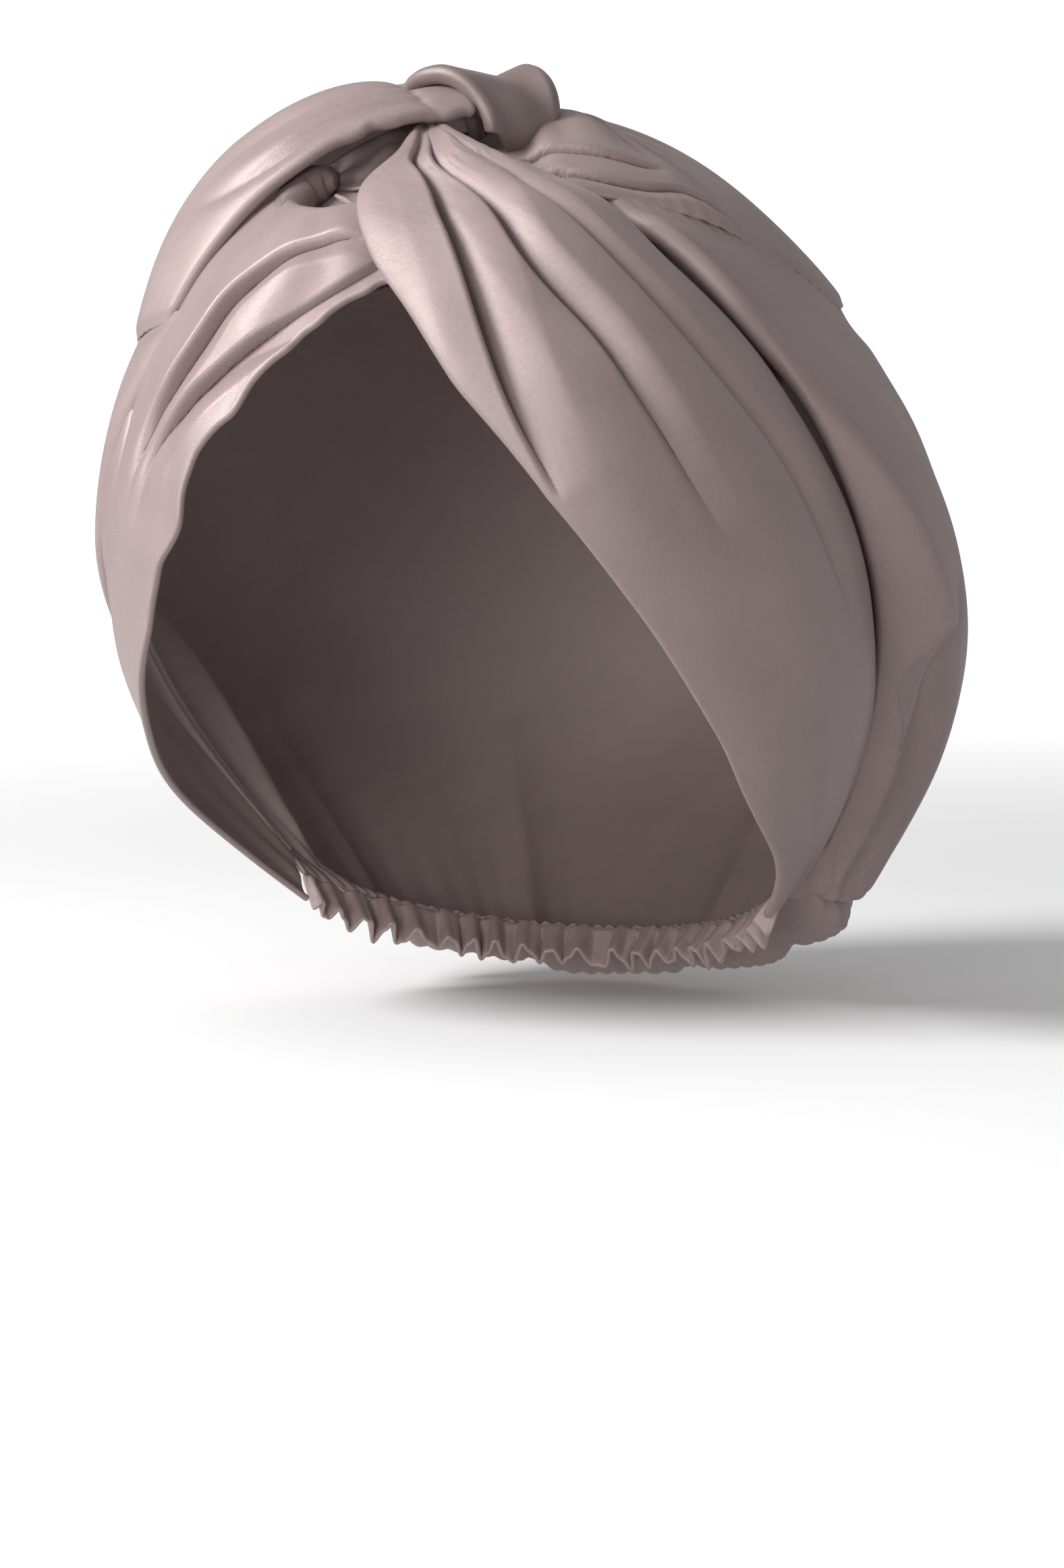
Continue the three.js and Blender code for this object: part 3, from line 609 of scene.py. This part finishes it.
LOOSE_CREASES = [
    [(69, 58.6, 0, 2, 5, 0), (62.1, 60, 1.6, 1.5, 5, 0), (55.8, 61.6, 2.6, 1, 5, 0), (45.5, 64.1, 3.4, 0.9, 5, 0),
     (36.7, 65.8, 3.4, 0.9, 4.5, 0), (30, 66.8, 3, 0.9, 4, 0)],
    [(79, 46.5, 0, 1.5, 3, 0), (76.1, 50.3, 0.8, 1.2, 3, 0), (72, 52.9, 1.2, 1, 3.5, 0),
     (66.7, 54.7, 1.6, 1, 4, 0), (57.6, 55.3, 2, 0.9, 4, 0), (49.8, 56.6, 2.4, 0.9, 4.5, 0),
     (41.4, 58.8, 3, 0.9, 5, 0), (34.1, 60.9, 3.4, 0.9, 5, 0), (28, 62.5, 3, 0.9, 4, 0)],
]
LOOSE_LEAN = 0.9
PUFF_HEIGHT, PUFF_AT, PUFF_REACH = 2.4, (62, 73), 15.0
TOP_DIVE, TOP_DIVE_REACH, TOP_DIVE_TURNS = 0.4, 0.14, (0.12, 0.22)
TOP_GATHERS = table("turn reach depth half_width", [
    (0.065, 0.62, 2.0, 0.020),
    (0.11, 0.45, 1.6, 0.022),
    (0.165, 0.66, 2.2, 0.030),
    (0.215, 0.42, 1.4, 0.026),
    (0.27, 0.7, 2.2, 0.034),
    (0.33, 0.5, 1.6, 0.030),
    (0.39, 0.62, 2.0, 0.034),
    (0.45, 0.46, 1.6, 0.030),
    (0.51, 0.68, 2.2, 0.036),
    (0.57, 0.52, 1.7, 0.030),
    (0.63, 0.7, 2.2, 0.034),
    (0.69, 0.5, 1.8, 0.026),
    (0.745, 0.75, 2.4, 0.028),
    (0.79, 0.55, 1.8, 0.022),
    (0.84, 0.8, 2.6, 0.024),
    (0.88, 0.6, 1.8, 0.016),
])
KNOT_FILL, KNOT_FILL_AT, KNOT_FILL_REACH, KNOT_FILL_TURNS = 3.6, (8, 60.5), 10.0, (0.99, 1.0)
TOP_CELLS = (330, 110)
TOP_START = 0.016
TOP_FOLD = 1.3
MIDDLE_CELLS, MIDDLE_LIFT, MIDDLE_DROP = 12, 2.0, 0.5
GATHER_FULL, GATHER_END_WIDTH = 0.4, 0.7
SEAM_ROLL, SEAM_ROLL_REACH = 0.8, 1.6
PUCKER, PUCKER_SPACING, PUCKER_REACH = 0.16, 4.6, 5.0
PUCKER_DRIFTS = [(1.3, 1 / 11.0, 0), (0.9, 1 / 5.3, 0)]
PUCKER_START, PUCKER_END = (0.0, 0.04), (0.9, 0.95)
TOP_EDGE_WAVES = [(6.5, 0, 0.5, 0.0011), (10.5, 0, 2.0, 0.0006)]
TOP_EDGE_REACH, TOP_EDGE_OUT = 0.006, (0.25, 0.4)
TOP_WAVES = [(7.3, 0.8, 0.2, 0.3), (11.9, -0.7, 2.2, 0.2)]


def puckers(length, away):
    """Small uneven gathers beside a seam, by the length along it and the distance from it."""
    return PUCKER * np.sin(drifting(length, 1 / PUCKER_SPACING, PUCKER_DRIFTS)) * np.exp(-away / PUCKER_REACH)


def top_points():
    turn, share = grid(*TOP_CELLS, u=(TOP_START, CROWN_TURNS))
    inner = TOP_DIVE_REACH * (1 - smoothstep(turn, *TOP_DIVE_TURNS))
    out = mix(-inner, 1, share)
    wavy = (1 - smoothstep(turn, TOP_START, TOP_START + TOP_EDGE_REACH)) * (1 - smoothstep(out, *TOP_EDGE_OUT))
    turn = turn + ripple(out, turn, TOP_EDGE_WAVES) * wavy
    d = top_place(turn, out)
    at = curves(CROWN_TOP, turn)
    past_rim = np.maximum(out, 0)
    lift = mix(at["rim_lift"], at["seam_lift"], past_rim)
    lift += at["swell"] * np.sin(np.pi * past_rim ** CROWN_SWELL_POWER)
    lift -= TOP_DIVE * (np.minimum(out, 0) / TOP_DIVE_REACH) ** 2
    lift += PUFF_HEIGHT * bump(d, *PUFF_AT, PUFF_REACH)
    lift += KNOT_FILL * bump(d, *KNOT_FILL_AT, KNOT_FILL_REACH) * smoothstep(turn, *KNOT_FILL_TURNS)
    for middle, reach, depth, half_width in zip(*TOP_GATHERS.values()):
        fade = 1 - smoothstep(out, GATHER_FULL * reach, reach)
        spread = half_width * mix(1, GATHER_END_WIDTH, out)
        lift -= depth * fade * np.clip(1 - np.abs(turn - middle) / spread, 0, 1) ** 2
    lift, _ = folded(d, lift, top_place, TOP_CREASES)
    lift, lean = folded(d, lift, direction, LOOSE_CREASES, LOOSE_LEAN)
    plain = lifted(d, lift)
    to_seam = to_last_column(plain)
    gathered = smoothstep(turn, *PUCKER_START) * (1 - smoothstep(turn, *PUCKER_END))
    lift += puckers(arc(plain, 0)[:, -1:], to_seam) * gathered
    lift -= SEAM_ROLL * np.exp(-(to_seam / SEAM_ROLL_REACH) ** 2)
    lift += ripple(turn, out, TOP_WAVES)
    inwards = np.linspace(1, 0, MIDDLE_CELLS, endpoint=False)[None, :, None]
    middle = unit(mix(d[:, :1], unit(d[:, 0].mean(0)), inwards))
    sunk = mix(lift[:, :1], MIDDLE_LIFT, smoothstep(inwards[..., 0], 0, MIDDLE_DROP))
    points = np.concatenate([lifted(middle, sunk), lifted(d, lift) + lean], 1)
    return first_row_under(points, TOP_FOLD)


# The bag

def wrapped_angles(place, start, across, drop):
    d = place(mix(start, 1, drop), np.full_like(drop, across))
    az = np.degrees(np.arctan2(d[..., 0], -d[..., 1])) % 360
    return np.stack([az, np.degrees(np.arcsin(d[..., 2]))], -1)


def edge_pull(place, start, across, drop):
    """How far a hidden edge under a side panel strays from the line between its two corners."""
    ends = wrapped_angles(place, start, across, np.array([0.0, 1.0]))
    return wrapped_angles(place, start, across, drop) - mix(ends[0], ends[1], drop[..., None])


def hem_angles(around):
    el = HEM_EL - HEM_DIP * (1 - (2 * around - 1) ** HEM_FLATNESS)
    return np.stack([mix(HEM_AZ, 360 - HEM_AZ, around), el], -1)


def bag_angles(around, drop):
    turn = 1 - around
    seam = np.stack([smooth(CROWN_TOP, "seam_az", turn) + 360, smooth(CROWN_TOP, "seam_el", turn)], -1)
    angles = mix(seam, hem_angles(around), drop[..., None])
    within = np.clip(drop, 0, 1)
    angles += edge_pull(left_place, LEFT_EDGE_FROM, LEFT_EDGE_ACROSS, within) * (turn ** EDGE_CLOSENESS)[..., None]
    right = edge_pull(right_place, RIGHT_EDGE_FROM, RIGHT_EDGE_ACROSS, within)
    angles += right * (around ** EDGE_CLOSENESS)[..., None]
    sag = BAG_SAG * np.sin(np.pi * within ** BAG_SAG_LATENESS)
    angles[..., 1] -= sag * np.sin(np.pi * around) ** BAG_SAG_SQUARENESS
    return angles


def bag_place(around, drop):
    angles = bag_angles(np.asarray(around, float), np.asarray(drop, float))
    return direction(angles[..., 0], angles[..., 1])


# Folds of the bag above the hem, by share round it and drop, and the two at the tack, by direction
BAG_CREASES = [
    [(0.86, 0.55, 0, 9, 9, 0), (0.87, 0.72, 4, 10, 9, 0), (0.885, 0.84, 5, 9, 8, 0), (0.91, 0.93, 3, 6, 6, 0),
     (0.93, 0.97, 0, 4, 4, 0)],
    [(0.24, 0.66, 0, 9, 9, 0), (0.235, 0.8, 3, 10, 10, 0), (0.225, 0.9, 4, 8, 8, 0), (0.215, 0.97, 2, 5, 5, 0),
     (0.21, 1, 0, 4, 4, 0)],
    [(0.40, 0.70, 0, 9, 9, 0), (0.395, 0.84, 3, 10, 10, 0), (0.39, 0.92, 3.5, 8, 8, 0), (0.385, 0.99, 0, 5, 5, 0)],
    [(0.58, 0.66, 0, 9, 9, 0), (0.585, 0.82, 3, 10, 10, 0), (0.59, 0.92, 4, 8, 8, 0), (0.595, 0.99, 0, 5, 5, 0)],
    [(0.74, 0.64, 0, 9, 9, 0), (0.745, 0.8, 3.5, 10, 10, 0), (0.755, 0.9, 4, 8, 8, 0), (0.77, 0.98, 0, 5, 5, 0)],
]
TACK_CREASES = [
    [(121, -49, 0, 4, 3, 0), (120.5, -46.8, 2.5, 5, 3, 0), (119.5, -42.5, 7, 7, 3.6, 0),
     (118.5, -37.4, 9, 8, 4.8, 0), (116.5, -31.6, 10.5, 9, 5.8, 0), (114.5, -26.8, 11, 9, 6.6, 0),
     (111.5, -22, 10, 9.5, 6.6, 0), (107.5, -17, 8, 9.5, 6.4, 0), (105.5, -13, 5.5, 9, 5, 0),
     (106.5, -9.5, 3, 8, 3.5, 0), (110, -5, 0, 6, 2.5, 0)],
    [(136, -39, 0, 4, 4, 0), (130, -42, 4.5, 4, 4, 0), (125, -44.8, 6, 3, 4, 0), (121, -47, 5, 2.5, 3.5, 0),
     (117, -49, 0, 2, 3, 0)],
]
TACK_RAMPS = (0.7, 2.0)
BAG_CELLS = (300, 150)
BAG_ROWS_POWER = 1.5
BAG_CROWDING = 0.5
BAG_TUCK, BAG_TUCK_DROP = 1.2, -0.015
BAG_WAVES = [(2.3, 1.1, 0.5, 0.7), (4.1, -1.4, 2.0, 0.5), (6.7, 1.9, 4.4, 0.3)]
BAG_WAVES_DROP, BAG_WAVES_RIGHT, BAG_WAVES_LEFT = (0.05, 0.3), (0.05, 0.2), (0.08, 0.2)
HEM_GATHERS, HEM_GATHER_DEPTH, HEM_GATHER_REACH, HEM_GATHER_RISE = 46, 1.3, 16.0, (-4, 6)
HEM_GATHER_DRIFTS = [(1.7, 23, 0), (0.8, 51, 0)]


def bag_points():
    spread, down = grid(*BAG_CELLS)
    drop = mix(BAG_TUCK_DROP, 1, 1 - (1 - down) ** BAG_ROWS_POWER)
    within = np.clip(drop, 0, 1)
    start, full, lip, radius, power = curves(BAG_LEFT, within).values()
    around = mix(start, 1, spread * mix(BAG_CROWDING, 1, spread))
    turn = 1 - around
    az, el = np.moveaxis(bag_angles(around, drop), -1, 0)
    d = direction(az, el)
    flat = mix(*BAG_RIGHT_LIFTS, smoothstep(el, *BAG_RIGHT_ELS))
    lift = mix(flat, smooth(BAG, "lift", el), smoothstep(turn, *BAG_RIGHT_SHARES))
    rise = np.clip((around - start) / (full - start), 0, 1)
    lift = mix(lip, lift, 1 - (1 - rise) ** power)
    under_seam = smooth(CROWN_TOP, "seam_lift", turn) - BAG_TUCK
    lift = mix(under_seam, lift, smoothstep(within, 0, BAG_SEAM_BLEND))
    inset = np.clip(turn / BAG_RIGHT_TUCK, 0, 1)
    lift = mix(LEAST_LIFT, lift, np.sqrt(1 - (1 - inset) ** 2))
    lift, _ = folded(d, lift, bag_place, BAG_CREASES)
    lift, _ = folded(d, lift, direction, TACK_CREASES, ramps=TACK_RAMPS)
    uneven = smoothstep(within, *BAG_WAVES_DROP) * smoothstep(turn, *BAG_WAVES_RIGHT)
    lift += ripple(around, drop, BAG_WAVES) * uneven * smoothstep(around, *BAG_WAVES_LEFT)
    lift = mix(HEM_LIFT, lift, smoothstep(1 - within, 0, HEM_TURN))
    plain = lifted(d, lift)
    to_hem = to_last_column(plain)
    gathers = np.sin(drifting(around, HEM_GATHERS, HEM_GATHER_DRIFTS)) * smoothstep(to_hem, *HEM_GATHER_RISE)
    lift += HEM_GATHER_DEPTH * gathers * np.exp(-to_hem / HEM_GATHER_REACH)
    lift += puckers(arc(plain, 0)[:, :1], arc(plain, 1))
    rolled = first_row_under(lifted(d, lift), radius[0], BAG_LIP_TURN)
    under = np.linspace(0, 1, UNDERLAP_CELLS)[:, None] * (start[:1] + BAG_UNDERLAP)
    underlap = lifted(bag_place(under, np.broadcast_to(drop[:1], under.shape)), UNDERLAP_LIFT)
    return np.concatenate([underlap, rolled])


# The casing at the nape

CASING_CELLS = (520, 10)
CASING_WIDTH, CASING_GAP = 8.0, 0.6
RUFFLES, RUFFLE_HEIGHT, RUFFLE_AT_HEM, RUFFLE_OUTWARD = 21, 4.5, 0.3, 0.4
RUFFLE_DRIFTS = [(1.1, 19, 0), (0.7, 43, 1)]
CRIMP, CRIMP_RATE, CRIMP_START = 0.3, 2.3, 1
RUFFLE_CHANGE, RUFFLE_CHANGE_RATE = 0.25, 31


def casing_points():
    around, out = grid(*CASING_CELLS)
    angles = hem_angles(around)
    below = np.degrees((CASING_WIDTH * out + CASING_GAP) / HEAD_BOTTOM)
    d = direction(angles[..., 0], angles[..., 1] - below)
    phase = drifting(around, RUFFLES, RUFFLE_DRIFTS)
    wave = np.sin(phase) + CRIMP * np.sin(CRIMP_RATE * phase + CRIMP_START) + RUFFLE_OUTWARD
    height = RUFFLE_HEIGHT * mix(RUFFLE_AT_HEM, 1, out) * (1 + RUFFLE_CHANGE * np.sin(RUFFLE_CHANGE_RATE * around))
    return lifted(d, HEM_LIFT + height * wave / 2)


# The knot's loop

LOOP_CENTRE = np.array([5.0, -20.7, 86.0])
LOOP_TURN = 54.0
LOOP_FRONT_FOOT, LOOP_BACK_FOOT = (14, -52), (172, 172)
LOOP_RADIUS = 13.6
LOOP = table("over left right saddle", [
    (0.0, 6.2, 6.8, 0.0),
    (0.25, 8.6, 7.9, 0.2),
    (0.5, 13.0, 7.4, 2.2),
    (0.62, 14.8, 7.4, 2.4),
    (0.75, 14.5, 8.0, 2.0),
    (1.0, 9.0, 7.0, 1.0),
])
LOOP_RIMS, LOOP_RIM_FROM, LOOP_RIM_TURN = (1.5, 2.4), 0.8, 200.0
LOOP_LEAN = 0.3
LOOP_CELLS = (90, 90)
LOOP_WAVES = [(1.5, 1.5, 0.3, 0.25), (2.5, -1.0, 2.0, 0.2)]


def loop_points():
    """The loop's points, and the way out of it at each."""
    over, across = grid(*LOOP_CELLS)
    at = curves(LOOP, over)
    angle = np.radians(mix(mix(*LOOP_FRONT_FOOT, across), mix(*LOOP_BACK_FOOT, across), over))
    side = 2 * across - 1
    width = np.where(side < 0, at["left"], at["right"])
    flat = np.clip(np.abs(side) / LOOP_RIM_FROM, 0, 1)
    rim = np.radians(LOOP_RIM_TURN) * np.clip((np.abs(side) - LOOP_RIM_FROM) / (1 - LOOP_RIM_FROM), 0, 1)
    roll = np.where(side < 0, *LOOP_RIMS)
    radius = LOOP_RADIUS + at["saddle"] * flat ** 2 - roll * (1 - np.cos(rim)) + ripple(over, across, LOOP_WAVES)
    x = np.sign(side) * (width * flat + roll * np.sin(rim))
    rise = radius * np.sin(angle)
    local = np.stack([x, -radius * np.cos(angle) - LOOP_LEAN * rise, rise], -1)
    c, s = math.cos(math.radians(LOOP_TURN)), math.sin(math.radians(LOOP_TURN))
    turn = np.array([[c, s, 0], [-s, c, 0], [0, 0, 1]])
    return local @ turn + LOOP_CENTRE, np.stack([0 * x, -np.cos(angle), np.sin(angle)], -1) @ turn


# The tucked ends in the hollow: a curled thumb of cloth, a lining under the crown's edge with a soft roll in it,
# and a thin strand. The thumb and the lining wear the darker satin, painted shade for the hollow

TUCK_COLUMNS = "at az el lift radius"
THUMB = table(TUCK_COLUMNS, [
    (0.0, -12.5, 44, 0.8, 1.2),
    (0.2, -19.5, 46, 2.6, 3.4),
    (0.42, -24.5, 49.5, 4.6, 4.4),
    (0.65, -25.5, 53.2, 5.2, 4.6),
    (0.85, -22.8, 55.6, 4.8, 3.6),
    (1.0, -20, 56.2, 4.2, 1.6),
])
LINING = table("at top_az top_el top_lift low_az low_el low_lift", [
    (0.0, -23, 58, 6.5, -24, 56.5, 2),
    (0.2, -21, 60, 7, -20.3, 56.5, 2),
    (0.4, -18.2, 62, 7.5, -14.5, 56, 2),
    (0.65, -13.2, 64.6, 8, -9, 58, 2),
    (0.85, -11.2, 67.5, 8, -7, 62, 3),
    (1.0, -10.2, 70, 8, -6, 66.5, 5),
])
LINING_CELLS = (70, 30)
LINING_HOLLOW, LINING_ROLL, LINING_ROLL_AT, LINING_ROLL_REACH = 1.6, 1.3, 0.5, 0.16
LINING_WAVES = [(1.1, 0, 0.4, 0.1), (2.3, 0, 1.5, 0.05)]
STRAND = table(TUCK_COLUMNS, [
    (0.0, -17, 53.5, 3.0, 0.5),
    (0.5, -11, 51.2, 3.4, 0.7),
    (1.0, -5, 48.8, 3.0, 0.5),
])
TUCK_STEPS, TUCK_SIDES = 60, 28


def lining_points():
    along, down = grid(*LINING_CELLS)
    at = curves(LINING, along)
    roll = LINING_ROLL_AT + ripple(along, down, LINING_WAVES)
    lift = mix(at["top_lift"], at["low_lift"], down) - LINING_HOLLOW * np.sin(np.pi * down)
    lift += LINING_ROLL * np.exp(-((down - roll) / LINING_ROLL_REACH) ** 2)
    return lifted(between(LINING, "top", "low", along, down), lift)


def tuck(name, rows, materials):
    at = curves(rows, np.linspace(0, 1, TUCK_STEPS))
    path = lifted(direction(at["az"], at["el"]), at["lift"])
    return tube(name, path, at["radius"], TUCK_SIDES, materials)


cloth_pair = [face_satin, shaded_back_satin]
left_wrap = cloth("left_wrap_satin", left_points(), cloth_pair)
right_wrap = cloth("right_wrap_satin", right_points(), cloth_pair)
crown_top = cloth("crown_top_satin", top_points(), cloth_pair)
crown_back = cloth("crown_bag_satin", bag_points(), cloth_pair)
casing = cloth("nape_casing_ruffle", casing_points(), [casing_satin])
loop_at, loop_out = loop_points()
# The loop's outside wears the darker satin, painted shade
loop = cloth("knot_loop_satin", loop_at, [shaded_satin, shaded_back_satin], outward=loop_out)
thumb = tuck("knot_tuck_thumb", THUMB, [shaded_satin])
lining = cloth("knot_tuck_roll", lining_points(), [shaded_satin])
strand = tuck("knot_tuck_strand", STRAND, [face_satin])

for piece, node in ((left_wrap, "left_wrap"), (right_wrap, "right_wrap"), (crown_top, "crown_top"),
                    (crown_back, "crown_back"), (casing, "nape_casing"), (loop, "knot_loop"),
                    (thumb, "knot_tuck")):
    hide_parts(node)
for piece in (left_wrap, right_wrap, crown_top, crown_back, loop, thumb, lining, strand, casing):
    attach(piece, "root")

# A floor disc, and a backdrop that goes on from it and curves up into a wall, outside the cameras of all views
STAGE_RADIUS, STAGE_WALL, STAGE_CURVE = 4.5, 2.5, 0.8
STAGE_SIDES, STAGE_STEPS = 96, 16
FLOOR_MIDDLE, FLOOR_RADIUS = 0.0001, 0.7
FLOOR_GAP = 0.001
STAGE_GLOW, GLOW_FROM, GLOW_FULL = 0.85, 0.3, 1.4
WHITE = (1, 1, 1, 1)
STAGE_PAPER = {"Base Color": (0.92, 0.92, 0.92, 1), "Roughness": 0.9, "Emission Color": WHITE}
LEVEL = (1, 1, 0)


def paper(name):
    """Pale paper that glows more with its distance from the middle, up to white."""
    material, shader, add = new_material(name, STAGE_PAPER)
    where = add("NewGeometry")
    level = add("VectorMath", {1: LEVEL}, {0: where.outputs["Position"]}, operation="MULTIPLY")
    away = add("VectorMath", links={0: level.outputs["Vector"]}, operation="LENGTH")
    reach = {"From Min": GLOW_FROM, "From Max": GLOW_FULL, "To Max": STAGE_GLOW}
    glow = add("MapRange", reach, {"Value": away.outputs["Value"]}, interpolation_type="SMOOTHSTEP")
    material.node_tree.links.new(glow.outputs["Result"], shader.inputs["Emission Strength"])
    return material


def sweep(name, profile):
    """A pale surface of turning: a disc or a wall, by its radius and height."""
    angles = [2 * math.pi * k / STAGE_SIDES for k in range(STAGE_SIDES)]
    positions = [(r * math.cos(a), r * math.sin(a), z) for r, z in profile for a in angles]
    faces = []
    for ring in range(len(profile) - 1):
        a, b = ring * STAGE_SIDES, (ring + 1) * STAGE_SIDES
        for k in range(STAGE_SIDES):
            after = (k + 1) % STAGE_SIDES
            faces.append((a + k, b + k, b + after, a + after))
    mesh = bpy.data.meshes.new(name)
    mesh.from_pydata(positions, [], faces)
    mesh.polygons.foreach_set("use_smooth", [True] * len(mesh.polygons))
    mesh.materials.append(paper(name))
    return linked(name, mesh)


def stage(low):
    edge = STAGE_RADIUS - STAGE_CURVE
    floor = sweep("studio_floor", [(FLOOR_MIDDLE, low), (FLOOR_RADIUS, low)])
    wall = [(FLOOR_RADIUS, low), (edge, low)]
    for k in range(1, STAGE_STEPS + 1):
        a = math.pi / 2 * k / STAGE_STEPS
        wall.append((edge + STAGE_CURVE * math.sin(a), low + STAGE_CURVE * (1 - math.cos(a))))
    wall.append((STAGE_RADIUS, low + STAGE_WALL))
    backdrop = sweep("studio_backdrop", wall)
    floor.visible_diffuse = False
    backdrop.visible_diffuse = False
    backdrop.visible_glossy = False
    return floor, backdrop


for piece in stage(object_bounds()[0][2] - FLOOR_GAP):
    piece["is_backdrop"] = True

# Camera at the photograph's place, in metres. The photograph's middle is right of the head's middle and below it
CAMERA_AZ, CAMERA_EL, CAMERA_AWAY = 20.0, 5.0, 1.4
PIXELS_PER_MM, FRAME_HEIGHT, SENSOR = 6.8, 2324, 36.0
TARGET_RIGHT, TARGET_DOWN = 0.00787, 0.05324
CLIP_START = 0.05

right = Vector(direction(CAMERA_AZ + 90, 0))
back = Vector(direction(CAMERA_AZ, CAMERA_EL))
up = back.cross(right)
head_middle = Vector((0, 0, -HEAD_TOP * MM))
target = head_middle + TARGET_RIGHT * right - TARGET_DOWN * up
camera_data = bpy.data.cameras.new("photo_camera")
camera_data.sensor_width = SENSOR
camera_data.lens = PIXELS_PER_MM * CAMERA_AWAY / MM / FRAME_HEIGHT * SENSOR
camera_data.clip_start = CLIP_START
camera = linked("photo_camera", camera_data)
camera.location = target + CAMERA_AWAY * back
camera.rotation_euler = (camera.location - target).to_track_quat("Z", "Y").to_euler()
bpy.context.scene.camera = camera

# Lights: azimuth, elevation and distance from the head's middle, size and power
LIGHTS = [("key", -48, 32, 1.3, 0.6, 22), ("fill", -2, 6, 1.6, 0.7, 8.5)]
WORLD_STRENGTH = 0.43


def area_light(name, az, el, away, size, watts):
    data = bpy.data.lights.new(name, "AREA")
    data.shape = "DISK"
    data.size = size
    data.energy = watts
    side = Vector(direction(az, el))
    light = linked(name, data)
    light.location = head_middle + away * side
    light.rotation_euler = side.to_track_quat("Z", "Y").to_euler()


for light in LIGHTS:
    area_light(*light)
world = bpy.data.worlds.new("studio")
world.use_nodes = True
world.node_tree.nodes["Background"].inputs["Color"].default_value = WHITE
world.node_tree.nodes["Background"].inputs["Strength"].default_value = WORLD_STRENGTH
bpy.context.scene.world = world
bpy.context.scene.view_settings.view_transform = "Standard"
